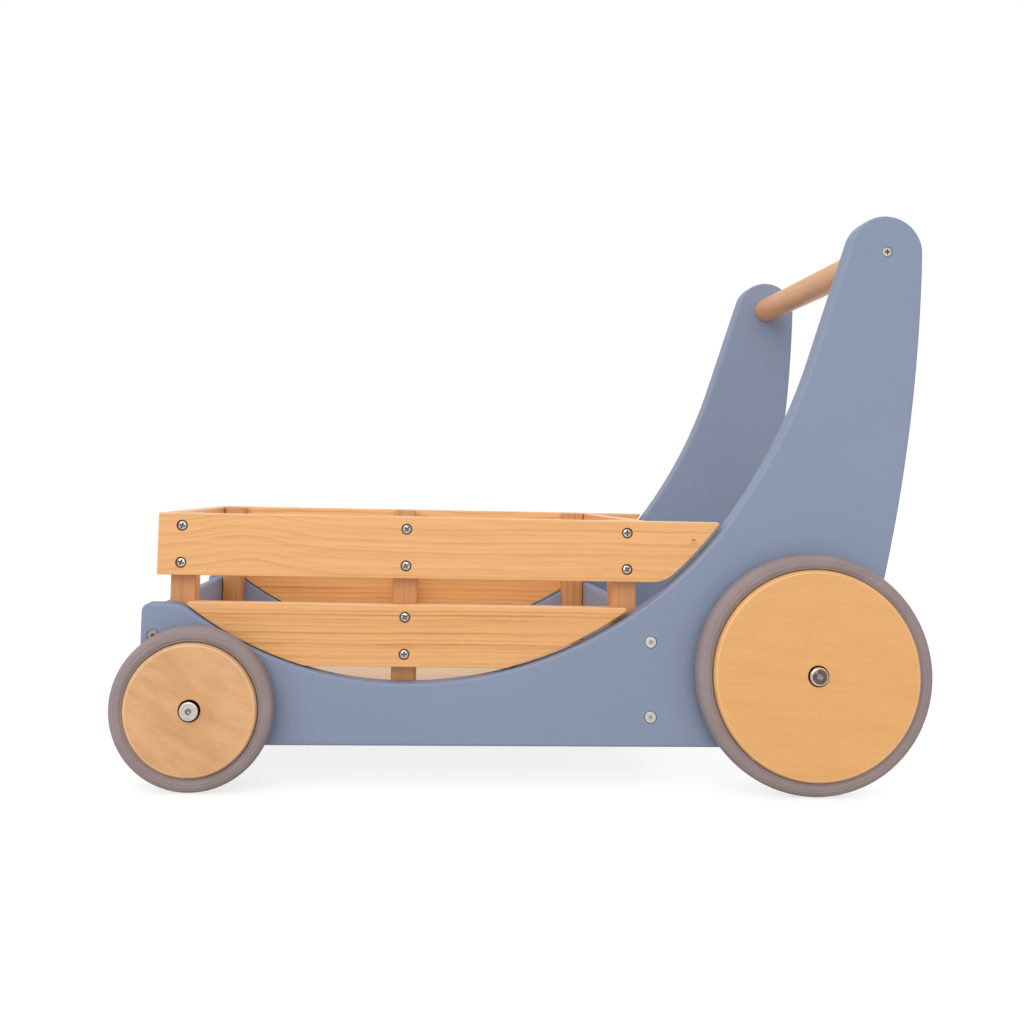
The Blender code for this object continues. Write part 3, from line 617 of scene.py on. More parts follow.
squares = maths(tree, "ADD", maths(tree, "MULTIPLY", across, across), maths(tree, "MULTIPLY", through, through))
reach = maths(tree, "SQRT", squares)
from_pith = put(tree, "CombineXYZ", {}, {0: reach, 1: takes["Seed"]}).outputs[0]
season = put(tree, "TexNoise", {"noise_dimensions": "2D"}, {"Vector": from_pith, "Scale": 150.0, "Detail": 1.0})
season = season.outputs["Fac"]
shiver = stretched(tree, takes["Vector"], 30.0, 200.0, 3.0, takes["Seed"], 0.6).outputs["Fac"]
count = maths(tree, "ADD", maths(tree, "DIVIDE", reach, takes["Ring"]), maths(tree, "MULTIPLY", season, 1.5))
count = maths(tree, "ADD", count, maths(tree, "MULTIPLY", shiver, 0.65))
year = maths(tree, "FLOOR", count)
within = maths(tree, "FRACT", count)
number = maths(tree, "ADD", year, takes["Seed"])
chance = put(tree, "TexWhiteNoise", {"noise_dimensions": "1D"}, {"W": number}).outputs["Value"]
print("rings done,", len(tree.nodes), "nodes so far")

# %% Pine group: late wood, fibres, resin and colour
fall = ramped(tree, within, 0.89, 1.0, 1.0, 0.0)
patch = stretched(tree, takes["Vector"], 9.0, 120.0, 2.0, takes["Seed"]).outputs["Fac"]
fade = ramped(tree, patch, 0.38, 0.60, 0.08, 1.0)
line = maths(tree, "MULTIPLY", maths(tree, "MULTIPLY", ramped(tree, within, 0.52, 0.90), fall), fade)
soft = maths(tree, "MULTIPLY", ramped(tree, within, 0.10, 0.90), fall)
band = maths(tree, "MULTIPLY_ADD", line, 0.55, maths(tree, "MULTIPLY", soft, 0.45))
late = maths(tree, "MULTIPLY", band, ramped(tree, chance, 0.0, 1.0, 0.3, 1.0))
fibre = stretched(tree, takes["Vector"], 22.0, 1300.0, 3.0, takes["Seed"], 0.65).outputs["Fac"]
streak = stretched(tree, takes["Vector"], 3.5, 170.0, 3.0, takes["Seed"], 0.6).outputs["Fac"]
speck = stretched(tree, takes["Vector"], 90.0, 1500.0, 1.0, takes["Seed"]).outputs["Fac"]
resin = maths(tree, "MULTIPLY", ramped(tree, speck, 0.68, 0.74), ramped(tree, within, 0.30, 0.8))
knot = bell(tree, knot_far, takes["Knot Reach"])
depth = maths(tree, "MULTIPLY_ADD", late, takes["Strength"], maths(tree, "SUBTRACT", streak, 0.46))
depth = maths(tree, "ADD", depth, ramped(tree, knot, 0.2, 0.8))
body = blended(tree, put(tree, "Clamp", {}, {0: depth}).outputs[0], takes["Early"], takes["Late"])
tone = maths(tree, "SUBTRACT", maths(tree, "MULTIPLY_ADD", fibre, 0.36, 0.82), maths(tree, "MULTIPLY", resin, 0.24))
tone = maths(tree, "SUBTRACT", tone, maths(tree, "MULTIPLY", ramped(tree, knot, 0.5, 0.9), 0.15))
# Painted shade: the wood darkens down to 0.45 inside the screw holes, where the mask is under 0.
tone = maths(tree, "MULTIPLY", tone, ramped(tree, takes["Edge"], -1.0, 0.0, 0.45, 1.0))
gloss = maths(tree, "SUBTRACT", maths(tree, "MULTIPLY_ADD", fibre, 0.16, 0.40), maths(tree, "MULTIPLY", late, 0.07))
sunk = maths(tree, "MULTIPLY_ADD", late, 0.5, resin)
give(
    tree, gives, Colour=painted_edge_highlight(tree, takes["Edge"], shaded_by(tree, tone, body)), Roughness=gloss,
    Height=maths(tree, "SUBTRACT", maths(tree, "MULTIPLY", fibre, 0.7), sunk))
year_rings = tree
print("group", tree.name, "with", len(tree.nodes), "nodes")

# %% Pine boards: one finish for each plank
PINE_EARLY, PINE_LATE = colour(237, 178, 115), colour(204, 129, 58)


def pine(name, turn, pith, early=PINE_EARLY, late=PINE_LATE, **values):
    """A plank's own pine. Turn brings the grain onto the X axis, and pith shifts the tree's middle from the walker's
    origin."""
    material, tree, shader, place = new_finish(name)
    grain = put(tree, "Mapping", {}, {"Vector": place, "Location": pith, "Rotation": turn}).outputs[0]
    sockets = {"Vector": grain, "Early": early, "Late": late, "Edge": edge_mask(tree), **values}
    skin = use_group(tree, year_rings, sockets)
    dress(tree, shader, skin, 0.30)
    shader.inputs["Coat Weight"].default_value = 0.15
    shader.inputs["Coat Roughness"].default_value = 0.35
    return material


LENGTHWISE, UPRIGHT, CROSSWISE = (0.0, 0.0, 0.0), (0.0, math.pi / 2, 0.0), (0.0, 0.0, math.pi / 2)
# The far upper rail's paler early wood is painted light: its inner face catches the light that falls into the open
# crate.
LOWER_EARLY, FAR_PAINTED_LIGHT_EARLY = colour(234, 174, 110), colour(246, 190, 128)
left_hump = {"Hump At": -0.218, "Hump Reach": 0.042, "Knot At": (0.128, 0.023, 0.050), "Knot Reach": 1.2 * MM}
right_hump = {"Hump At": -0.02, "Hump Reach": 0.07}
upper_pine = {
    "left": pine("upper_rail_pine_left", LENGTHWISE, (0.0, 0.170, -0.138),
                 Ring=4.4 * MM, Wander=3 * MM, Hump=9 * MM, Strength=0.52, Seed=3.0, **left_hump),
    "right": pine("upper_rail_pine_right", LENGTHWISE, (0.0, -0.180, -0.120), early=FAR_PAINTED_LIGHT_EARLY,
                  Ring=4.9 * MM, Wander=3 * MM, Hump=-7 * MM, Strength=0.65, Seed=11.0, **right_hump)}
lower_pine = {
    "left": pine("lower_rail_pine_left", LENGTHWISE, (0.0, 0.150, 0.060), early=LOWER_EARLY,
                 Ring=4.6 * MM, Wander=2 * MM, Strength=1.2, Seed=7.0),
    "right": pine("lower_rail_pine_right", LENGTHWISE, (0.0, -0.160, 0.040), early=LOWER_EARLY,
                  Ring=5.0 * MM, Wander=2.5 * MM, Strength=1.1, Seed=17.0)}
print("pine for four side rails")

# %% [markdown]
# ## The side rails
# Two rails run along each side. The upper one ends in a tip that follows the panel's sweep; the lower one is boat
# shaped and follows it at both ends. Their ends can be found by rolling a small circle between the straight edge and
# the sweep: its centre lies one small radius inside both, which gives each corner in one line.

# %% Rail outlines
FRONT_GAP, UPPER_GAP = 0.9 * MM, 4.0 * MM
REAR_GAP_AND_SHIFT = {"left": (-0.7 * MM, 8.5 * MM), "right": (-0.3 * MM, 5.0 * MM)}
RAIL_IN, RAIL_OUT, RAIL_EDGE = 0.135, 0.147, 0.8 * MM


def rolled(centre, radius, height, small, way):
    """Centre of a circle of radius small that rests inside a sweep's circle with its own centre at a given height.
    Way is -1 for the front of the sweep and 1 for its rear."""
    return np.array([centre[0] + way * math.sqrt((radius - small) ** 2 - (height - centre[1]) ** 2), height])


def upper_rail_outline(low, high, small=1.2 * MM, tip=1.2 * MM, heel=25 * MM):
    """Square front end, tip under the top edge, the sweep, and a wide heel onto the bottom edge."""
    quarter, sweep = math.pi / 2, REAR_SWEEP - UPPER_GAP
    top_turn = rolled(rear_sweep_centre, sweep, high.z - tip, tip, 1)
    low_turn = rolled(rear_sweep_centre, sweep, low.z + heel, heel, 1)
    return outline(
        arc((low.x + small, low.z + small), small, 3 * quarter, 2 * quarter),
        arc((low.x + small, high.z - small), small, 2 * quarter, quarter),
        arc(top_turn, tip, quarter, bearing(top_turn - rear_sweep_centre)),
        arc(rear_sweep_centre, sweep, bearing(top_turn - rear_sweep_centre), bearing(low_turn - rear_sweep_centre)),
        arc(low_turn, heel, bearing(low_turn - rear_sweep_centre), -quarter))


def lower_rail_outline(low, high, rear_gap, rear_shift, tip=1.6 * MM, heel=9 * MM):
    """Both ends follow the sweeps, with small tips at the top edge and small heels at the bottom edge. The rear end's
    circle is moved forward, so that its gap opens from about 1 mm at the heel to a few millimetres at the tip."""
    quarter, full = math.pi / 2, 2 * math.pi
    front_centre, front = front_sweep_centre, FRONT_SWEEP - FRONT_GAP
    rear_centre, rear = rear_sweep_centre - (rear_shift, 0.0), REAR_SWEEP - rear_gap
    front_tip = rolled(front_centre, front, high.z - tip, tip, -1)
    front_heel = rolled(front_centre, front, low.z + heel, heel, -1)
    rear_tip = rolled(rear_centre, rear, high.z - tip, tip, 1)
    rear_heel = rolled(rear_centre, rear, low.z + heel, heel, 1)
    tip_way, heel_way = bearing(front_tip - front_centre) + full, bearing(front_heel - front_centre) + full
    return outline(
        arc(front_centre, front, heel_way, tip_way), arc(front_tip, tip, tip_way, quarter),
        arc(rear_tip, tip, quarter, bearing(rear_tip - rear_centre)),
        arc(rear_centre, rear, bearing(rear_tip - rear_centre), bearing(rear_heel - rear_centre)),
        arc(rear_heel, heel, bearing(rear_heel - rear_centre), -quarter), arc(front_heel, heel, 3 * quarter, heel_way))


POSTS, LEVELS = ("front", "middle", "rear"), ("top", "bottom")
RAIL_SCREWS = {
    "upper": [f"upper_rail_{post}_{level}_screw" for post in POSTS for level in LEVELS],
    "lower": [f"lower_rail_middle_{level}_screw" for level in LEVELS]}
print({name: len(screws) for name, screws in RAIL_SCREWS.items()}, "screws a side")

# %% Side rails
SCREW_SINK = sink(4.35 * MM, 4.2 * MM, 2.8 * MM)
for side, sign in SIDES:
    upper_rim = upper_rail_outline(*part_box(f"{side}_upper_rail"))
    lower_rim = lower_rail_outline(*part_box(f"{side}_lower_rail"), *REAR_GAP_AND_SHIFT[side])
    for level, rim, woods in (("upper", upper_rim, upper_pine), ("lower", lower_rim, lower_pine)):
        node = f"{side}_{level}_rail"
        drills = [(*box_middle(f"{side}_{screw}"), SCREW_SINK) for screw in RAIL_SCREWS[level]]
        points, faces, mask = slab(rim, RAIL_OUT, RAIL_IN, RAIL_EDGE, drills, steps=5)
        made = piece(node + "_board", stand(("side", sign), points), faces, woods[side], "frame", [node], mask)
        print(made.name, len(made.data.polygons), "faces")

# %% [markdown]
# ## The end rails and posts
# A rail closes each end of the crate, and six square posts carry all the rails. The posts' grain stands upright, so
# their pine is the same tree turned on end. Each end rail holds on with four screws, two into each corner post. A box
# with a Bevel modifier would do for such plain boards, but the slab also sinks the screw holes and marks the rounded
# edges for the pine.

# %% End rails
END_SCREWS = [(y, z) for y in (-0.125, 0.125) for z in (0.1925, 0.1645)]
end_drills = [(y, z, SCREW_SINK) for y, z in END_SCREWS]
end_face = {}
for end, sign in ENDS:
    node = f"{end}_end_rail"
    low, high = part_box(node)
    back, end_face[end] = sorted(abs(x - MIDDLE_X) for x in (low.x, high.x))
    rim = oblong((low.y, low.z), (high.y, high.z), 1.6 * MM)
    points, faces, mask = slab(rim, end_face[end], back, 1.1 * MM, end_drills, steps=5)
    wood = pine(node + "_pine", CROSSWISE, (0.0, 0.30 * sign, -0.13),
                Ring=4.8 * MM, Wander=3 * MM, Strength=0.7, Seed=21.0 + sign)
    made = piece(node + "_board", stand(("end", sign), points), faces, wood, "frame", [node], mask)
    print(made.name, "with", len(END_SCREWS), "screw holes")

# %% Posts
POST_EARLY, POST_LATE = colour(211, 151, 94), colour(184, 115, 58)
for side, sign in SIDES:
    for number, post in enumerate(POSTS):
        node = f"{side}_{post}_post"
        low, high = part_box(node)
        rim = oblong((low.x, low.y), (high.x, high.y), 1.5 * MM)
        points, faces, mask = slab(rim, high.z, low.z, 1.0 * MM, steps=4)
        pith = (-0.2, -sign * 0.10 + 0.02 * number, (low.x + high.x) / 2 + 0.05)
        wood = pine(node + "_pine", UPRIGHT, pith, POST_EARLY, POST_LATE,
                    Ring=4.2 * MM, Wander=2 * MM, Strength=0.7, Seed=31.0 + 2 * number + sign)
        piece(node + "_bar", stand(("flat", 1), points), faces, wood, "frame", [node], mask)
print("six posts of", round((high.x - low.x) / MM, 1), "mm square")

# %% [markdown]
# ## Close-grained wood
# The wheel discs, the floor and the handle are woods without clear rings: birch plywood and beech. Up close they show
# soft streaks along the grain, a cloudy figure, and in beech many short dark flecks. A group for each wood would repeat
# the same nodes, so one group gives all three marks, and each piece sets how strong they are.

# %% Close grain group
tree, takes, gives = new_group(
    "close_grain",
    {"Vector": "Vector", "Pale": "Color", "Deep": "Color", "Streak": ("Float", 0.5), "Cloud": ("Float", 0.3),
     "Fleck": ("Float", 0.3), "Seed": ("Float", 0.0), "Edge": "Float"}, SKIN_OUTPUTS)
bend = stretched(tree, takes["Vector"], 9.0, 16.0, 1.0, takes["Seed"]).outputs["Color"]
bend = put(tree, "VectorMath", {"operation": "SUBTRACT"}, {0: bend, 1: (0.5, 0.5, 0.5)}).outputs[0]
moved = {0: bend, 1: (0.0, 12 * MM, 12 * MM), 2: takes["Vector"]}
bent = put(tree, "VectorMath", {"operation": "MULTIPLY_ADD"}, moved).outputs[0]
broad = stretched(tree, bent, 7.0, 130.0, 3.0, takes["Seed"]).outputs["Fac"]
fine = stretched(tree, bent, 30.0, 900.0, 3.0, takes["Seed"], 0.6).outputs["Fac"]
cloud = stretched(tree, takes["Vector"], 28.0, 70.0, 4.0, takes["Seed"], 0.6).outputs["Fac"]
dash = ramped(tree, stretched(tree, bent, 170.0, 1500.0, 1.0, takes["Seed"]).outputs["Fac"], 0.66, 0.74)
share = maths(tree, "ADD", maths(tree, "MULTIPLY", ramped(tree, broad, 0.30, 0.72), takes["Streak"]),
              maths(tree, "MULTIPLY", ramped(tree, cloud, 0.3, 0.7), takes["Cloud"]))
body = blended(tree, put(tree, "Clamp", {}, {0: share}).outputs[0], takes["Pale"], takes["Deep"])
fleck = maths(tree, "MULTIPLY", dash, maths(tree, "MULTIPLY", takes["Fleck"], 0.35))
tone = maths(tree, "SUBTRACT", maths(tree, "MULTIPLY_ADD", fine, 0.14, 0.93), fleck)
# Painted shade: down to 0.15 in the wheels' hubs, and a little on the outer part of the discs' rounded edges.
tone = maths(tree, "MULTIPLY", tone, ramped(tree, takes["Edge"], -1.0, 0.0, 0.15, 1.0))
give(
    tree, gives, Colour=painted_edge_highlight(tree, takes["Edge"], shaded_by(tree, tone, body)),
    Roughness=maths(tree, "ADD", maths(tree, "MULTIPLY_ADD", fine, 0.14, 0.36), maths(tree, "MULTIPLY", cloud, 0.06)),
    Height=maths(tree, "SUBTRACT", fine, dash))
close_grain = tree
print("group", tree.name, "with", len(tree.nodes), "nodes")

# %% Beech, birch and the floor
def hardwood(name, turn, middle, bump=0.2, gloss=(0.15, 0.35), **values):
    """A close-grained wood of its own. Turn brings its grain onto the X axis, middle is the piece's centre."""
    material, tree, shader, place = new_finish(name)
    centred = put(tree, "VectorMath", {"operation": "SUBTRACT"}, {0: place, 1: middle}).outputs[0]
    grain = put(tree, "Mapping", {}, {"Vector": centred, "Rotation": turn}).outputs[0]
    skin = use_group(tree, close_grain, {"Vector": grain, "Edge": edge_mask(tree), **values})
    dress(tree, shader, skin, bump)
    shader.inputs["Coat Weight"].default_value, shader.inputs["Coat Roughness"].default_value = gloss
    return material


wheel_spots = {end: box_middle(f"{end}_left_wheel_disc") for end, _ in ENDS}
disc_middle = {end: (spot[0], 0.0, spot[1]) for end, spot in wheel_spots.items()}
FRONT_GRAIN, REAR_GRAIN, DISC_GLOSS = (0.0, math.radians(-28), 0.0), (0.0, math.radians(-4), 0.0), (0.4, 0.18)
disc_wood = {
    "front": hardwood("front_disc_birch", FRONT_GRAIN, disc_middle["front"], gloss=DISC_GLOSS,
                      Pale=colour(227, 175, 122), Deep=colour(203, 146, 92),
                      Streak=0.22, Cloud=0.7, Fleck=0.6, Seed=4.0),
    "rear": hardwood("rear_disc_birch", REAR_GRAIN, disc_middle["rear"], gloss=DISC_GLOSS,
                     Pale=colour(232, 173, 105), Deep=colour(219, 155, 86),
                     Streak=0.25, Cloud=0.3, Fleck=0.2, Seed=9.0)}
beech = hardwood("handle_beech", CROSSWISE, (0.0, 0.0, 0.0),
                 Pale=colour(229, 172, 124), Deep=colour(209, 148, 98),
                 Streak=0.5, Cloud=0.3, Fleck=0.9, Seed=14.0)
floor_birch = hardwood("floor_birch", LENGTHWISE, (0.0, 0.0, 0.0),
                       Pale=colour(254, 236, 208), Deep=colour(246, 218, 184),
                       Streak=0.6, Cloud=0.4, Fleck=0.3, Seed=19.0)
print("wheel discs turn about", {end: np.round(np.array(spot) / MM, 1).tolist() for end, spot in wheel_spots.items()})

# %% [markdown]
# ## The floor board
# A thin pale plywood board closes the crate below, and shows as a light sliver under the lower rail. It could be a
# plain box. The slab takes no more words, and gives it the broken edges of a sawn sheet.

# %% Floor board
low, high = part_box("floor_board")
rim = oblong((low.x, low.y), (high.x, high.y), 1.5 * MM)
points, faces, mask = slab(rim, high.z, low.z, 0.8 * MM, steps=3)
piece("crate_floor", stand(("flat", 1), points), faces, floor_birch, "frame", ["floor_board"], mask)
print("crate floor at z =", round(high.z / MM, 1), "mm")

# %% [markdown]
# ## Turned pieces
# The handle, wheel discs, tyres and spacers are round, so each is a profile spun about the cross axis, as on a lathe.
# Blender's Screw modifier does this too; in numpy it is one line, and the corners of the profile can be rounded by
# arithmetic first: an arc that touches both sides of a corner replaces its point.

# %% Lathe
def filleted(corners, radii, steps=6):
    """Rounds a profile's corners. An arc of radius r touches both sides r / tan(half the angle) from the corner, and
    its centre lies on the bisector, r / sin(half the angle) away."""
    corner, radius = np.asarray(corners, float), np.asarray(radii, float)
    before, after = np.roll(corner, 1, axis=0) - corner, np.roll(corner, -1, axis=0) - corner
    before /= np.linalg.norm(before, axis=1, keepdims=True)
    after /= np.linalg.norm(after, axis=1, keepdims=True)
    half = np.arccos(np.clip((before * after).sum(axis=1), -1, 1)) / 2
    bisector = before + after
    bisector /= np.linalg.norm(bisector, axis=1, keepdims=True) + 1e-12
    centre = corner + bisector * (radius / np.sin(half))[:, None]
    first, last = (corner + way * (radius / np.tan(half))[:, None] - centre for way in (before, after))
    start, finish = (np.arctan2(step[:, 1], step[:, 0]) for step in (first, last))
    turn = (finish - start + math.pi) % (2 * math.pi) - math.pi
    angle = start[:, None] + turn[:, None] * np.linspace(0, 1, steps + 1)
    rows = (centre[:, None] + radius[:, None, None] * np.stack([np.cos(angle), np.sin(angle)], -1)).reshape(-1, 2)
    apart = np.linalg.norm(rows - np.roll(rows, 1, axis=0), axis=1)
    return rows[(apart > 1e-7) | (np.arange(len(rows)) == 0)]


def braced(rows, reach=0.4 * MM, closed=False):
    """Adds a point just inside both ends of every long straight stretch, so that flat faces shade flat."""
    after = np.roll(rows, -1, axis=0)
    step = after - rows
    length = np.linalg.norm(step, axis=1)
    long = np.flatnonzero((length > 5 * reach) & (closed | (np.arange(len(rows)) < len(rows) - 1)))
    near = rows[long] + step[long] / length[long, None] * reach
    far = after[long] - step[long] / length[long, None] * reach
    return np.insert(rows, np.repeat(long + 1, 2), np.stack([near, far], 1).reshape(-1, 2), axis=0)


def spun(rows, segments=144, closed=False):
    """Lathe: P(a, k) = (radius_k cos a, radius_k sin a, depth_k). A closed profile makes a ring."""
    rows = braced(np.asarray(rows), closed=closed)
    if closed:
        rows = np.vstack([rows, rows[:1]])
    angle = np.linspace(0, 2 * math.pi, segments, endpoint=False)
    grid = np.empty((len(rows), segments, 3))
    grid[:, :, 0] = rows[:, :1] * np.cos(angle)
    grid[:, :, 1] = rows[:, :1] * np.sin(angle)
    grid[:, :, 2] = rows[:, 1:]
    return grid.reshape(-1, 3), rings_joined(len(rows), segments).tolist()


print("a rounded square profile has", len(filleted([(1, 0), (2, 0), (2, 1), (1, 1)], [0.1] * 4)), "points")

# %% [markdown]
# ## The handle
# The handle is a beech dowel between the arms, with its grain along its length. A cylinder from the Add menu has sharp
# ends, so a profile with slightly broken corners is spun instead.

# %% Handle
handle_half, handle_radius = handle_high.y, (handle_high.z - handle_low.z) / 2
corners = [(0.0, -handle_half), (handle_radius, -handle_half), (handle_radius, handle_half), (0.0, handle_half)]
rows = filleted(corners, np.array([0.0, 0.5, 0.5, 0.0]) * MM)
points, faces = spun(rows, 96)
piece("handle_dowel", stand(("side", 1), points, handle_spot), faces, beech, "frame", ["handle_bar"])
print("handle of", round(2 * handle_radius / MM, 1), "mm beech")

# %% [markdown]
# ## Rubber
# The tyres are a matt taupe rubber. Moulded rubber is almost even, with a faint bloom and a fine tooth from the mould.
# One flat colour would look like plastic, so a coarse noise blends in the bloom, and a fine one roughens the surface.

# %% Rubber
tree, takes, gives = new_group(
    "moulded_skin", {"Vector": "Vector", "Colour": "Color", "Bloom": "Color"}, SKIN_OUTPUTS)
bloom = stretched(tree, takes["Vector"], 35.0, 35.0, 3.0).outputs["Fac"]
tooth = stretched(tree, takes["Vector"], 1600.0, 1600.0, 2.0, 2.0).outputs["Fac"]
share = maths(tree, "ADD", ramped(tree, bloom, 0.35, 0.75, 0.0, 0.55), maths(tree, "MULTIPLY_ADD", tooth, 0.4, -0.2))
give(
    tree, gives, Colour=blended(tree, put(tree, "Clamp", {}, {0: share}).outputs[0], takes["Colour"], takes["Bloom"]),
    Roughness=maths(tree, "MULTIPLY_ADD", tooth, 0.2, 0.55), Height=tooth)
moulded_skin = tree

taupe_rubber, tree, shader, place = new_finish("taupe_rubber")
TAUPE, TAUPE_BLOOM = colour(146, 131, 130), colour(161, 147, 147)
skin = use_group(tree, moulded_skin, {"Vector": place, "Colour": TAUPE, "Bloom": TAUPE_BLOOM})
dress(tree, shader, skin, 0.2, 0.05 * MM)
shader.inputs["Specular IOR Level"].default_value = 0.25
print("finish", taupe_rubber.name)

# %% [markdown]
# ## The wheels
# Each wheel is a plywood disc with a widely rounded edge, a sunk hub, and a rubber tyre stretched round it. The tyre
# has a thin lip that lies low against the wood, a shallow groove, and a side that swells and rolls over into the
# tread. A circle would be too round for that and a square too hard, so the swell is a superellipse, which lies
# between them. Two shallow rings from the mould run round the side.

# %% Wheel profiles
DISC_IN, DISC_OUT, DISC_ROUND, HUB_DEPTH = 0.1596, 0.1790, 2.5 * MM, 7.0 * MM
TYRE_IN, TYRE_OUT, TYRE_DEPTH, TYRE_PLAY = 0.1606, 0.1766, 11.2 * MM, 0.15 * MM
HUB = {"front": 8.2 * MM, "rear": 8.0 * MM}
AXLE_BORE = 4.3 * MM


def disc_rows(radius, hub):
    """Closed profile of a disc: bore, hub floor, hub wall, face, round edge, rim, round edge, back."""
    hub_floor = DISC_OUT - HUB_DEPTH
    corners = [(AXLE_BORE, hub_floor), (hub, hub_floor), (hub, DISC_OUT), (radius, DISC_OUT), (radius, DISC_IN),
               (AXLE_BORE, DISC_IN)]
    return filleted(corners, [0.3 * MM, 0.4 * MM, 0.3 * MM, DISC_ROUND, DISC_ROUND, 0.3 * MM], steps=12)


def tyre_rows(radius, power=2.7):
    """Closed profile of a tyre: lip and groove, the inner slope of its side, then a quarter of a superellipse,
    (r sin(t)^(2 / power), half cos(t)^(2 / power)), to the middle of the tread, and the same on the back.
    The mould leaves two shallow rings in the side, two waves of a cosine taken off its height."""
    seat, middle, half = radius - TYRE_DEPTH, (TYRE_IN + TYRE_OUT) / 2, (TYRE_OUT - TYRE_IN) / 2
    rise, crest, dip = 2.6 * MM, 4.6 * MM, 0.45 * MM
    lip = np.array([(0.0, 0.0), (0.0, 5.4), (0.35, 5.4), (0.5, 6.7), (1.15, 6.95), (1.6, 6.8)]) * MM
    lip_rounds = np.array([0.0, 0.1, 0.1, 0.25, 0.2, 0.2, 0.0]) * MM
    bead = filleted(np.vstack([lip, (rise, half - dip)]), lip_rounds)[1:-1]
    inner = np.linspace(rise, crest, 9)[:-1]
    slope = np.column_stack([inner, half - dip * ((crest - inner) / (crest - rise)) ** 2])
    turn = np.linspace(0, math.pi / 2, 57)
    out = crest + (TYRE_DEPTH - crest) * np.sin(turn) ** (2 / power)
    height = half * np.cos(turn).clip(0) ** (2 / power)
    wave = (out - 4.8 * MM) / (2.1 * MM)
    height -= np.where((wave > 0) & (wave < 2), 0.13 * MM * (1 - np.cos(2 * math.pi * wave)), 0.0)
    outer = np.vstack([bead, slope, np.column_stack([out, height])])
    return np.vstack([outer, (outer * (1, -1))[-2::-1]]) + (seat, middle)


def disc_mask(points, radius, hub):
    """Painted light on the disc: -1 down the hub's wall and floor for painted shade, 1 where the rounded edge leaves
    the face for a painted highlight line, and slightly under 0 beyond for painted shade on the rest of the round.
    """
    reach, under = np.hypot(points[:, 0], points[:, 1]), DISC_OUT - points[:, 2]
    in_hub = (reach < hub + 0.1 * MM) & (under > 0.4 * MM) & (points[:, 2] > DISC_IN + 1 * MM)
    turned = reach > radius - DISC_ROUND + 0.1 * MM
    return np.where(in_hub, -1.0, 0.0) + np.where(turned, np.where(under < 0.16 * MM, 1.0, -0.2), 0.0)


print("a tyre's profile has", len(tyre_rows(0.06)), "points")

# %% Wheel discs and tyres
for end, _ in ENDS:
    for side, sign in SIDES:
        name, body = f"{end}_{side}", f"{end}_{side}_wheel"
        low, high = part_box(name + "_tyre")
        radius = (high.z - low.z) / 2
        disc_radius = radius - TYRE_DEPTH - TYRE_PLAY
        points, faces = spun(disc_rows(disc_radius, HUB[end]), 192, True)
        piece(name + "_disc", stand(("side", sign), points, wheel_spots[end]), faces, disc_wood[end],
              body, [name + "_wheel_disc"], disc_mask(points, disc_radius, HUB[end]))
        points, faces = spun(tyre_rows(radius), 192, True)
        piece(name + "_rubber_tyre", stand(("side", sign), points, wheel_spots[end]), faces, taupe_rubber,
              body, [name + "_tyre"])
    print(end, "wheels of", round(2 * radius / MM, 1), "mm")

# %% [markdown]
# ## Bright steel
# Screws and bolts are nickel plated. The plating is even, but drawing and tightening leave fine scratches. A perfect
# mirror would be too clean, so the roughness changes in thin streaks. The recesses are darker: that is painted shade.
# Each kind of head has its own brightness. The rail screws' warm tint is partly a painted reflection of the pine round
# them, and the front board bolts' darker steel is a painted reflection of the dark tyre beside them.

# %% Nickel
tree, takes, gives = new_group(
    "plated_skin", {"Vector": "Vector", "Bright": "Color", "Dull": "Color", "Sheen": ("Float", 0.2), "Edge": "Float"},
    SKIN_OUTPUTS)
scratch = stretched(tree, takes["Vector"], 300.0, 4000.0, 2.0).outputs["Fac"]
haze = stretched(tree, takes["Vector"], 160.0, 160.0, 2.0, 3.0).outputs["Fac"]
plate = blended(tree, ramped(tree, haze, 0.35, 0.75), takes["Bright"], takes["Dull"])
# Painted shade: the steel darkens to 0.12 where the head's mask is -1, in sockets and down its side.
shade = ramped(tree, takes["Edge"], -1.0, 0.0, 0.12, 1.0)
give(
    tree, gives, Colour=shaded_by(tree, shade, plate),
    Roughness=maths(tree, "ADD", takes["Sheen"], maths(tree, "MULTIPLY_ADD", scratch, 0.10, -0.04)), Height=scratch)
plated_skin = tree


def plated(name, bright, dull, sheen):
    """A plated steel of its own brightness."""
    material, tree, shader, place = new_finish(name)
    sockets = {"Vector": place, "Bright": bright, "Dull": dull, "Sheen": sheen, "Edge": edge_mask(tree)}
    skin = use_group(tree, plated_skin, sockets)
    dress(tree, shader, skin, 0.08, 0.02 * MM)
    shader.inputs["Metallic"].default_value = 1.0
    return material


# The rail screws' warm tint is partly a painted reflection of the pine round them.
screw_nickel = plated("screw_nickel", colour(206, 199, 195), colour(180, 171, 166), 0.17)
bolt_nickel = plated("bolt_nickel", colour(190, 187, 181), colour(172, 169, 163), 0.28)
warm_nickel = plated("warm_nickel", colour(196, 187, 180), colour(180, 171, 164), 0.20)
# A darker copy of the bolt steel: a painted reflection of the dark tyre beside the front bolts.
painted_reflection_nickel = plated("painted_reflection_nickel", colour(152, 145, 141), colour(138, 131, 127), 0.5)
bright_chrome = plated("bright_chrome", colour(214, 200, 191), colour(180, 166, 157), 0.09)
print("finishes", screw_nickel.name, bolt_nickel.name, warm_nickel.name, painted_reflection_nickel.name, bright_chrome.name)

# %% [markdown]
# ## Screws and bolts
# A driven head is round outside but its socket is a hexagon or a cross. A Boolean could cut the socket; a polar grid
# does it without one. Around the middle, the inner rings follow the socket's outline, given as a distance for every
# angle, and the outer rings relax into circles.

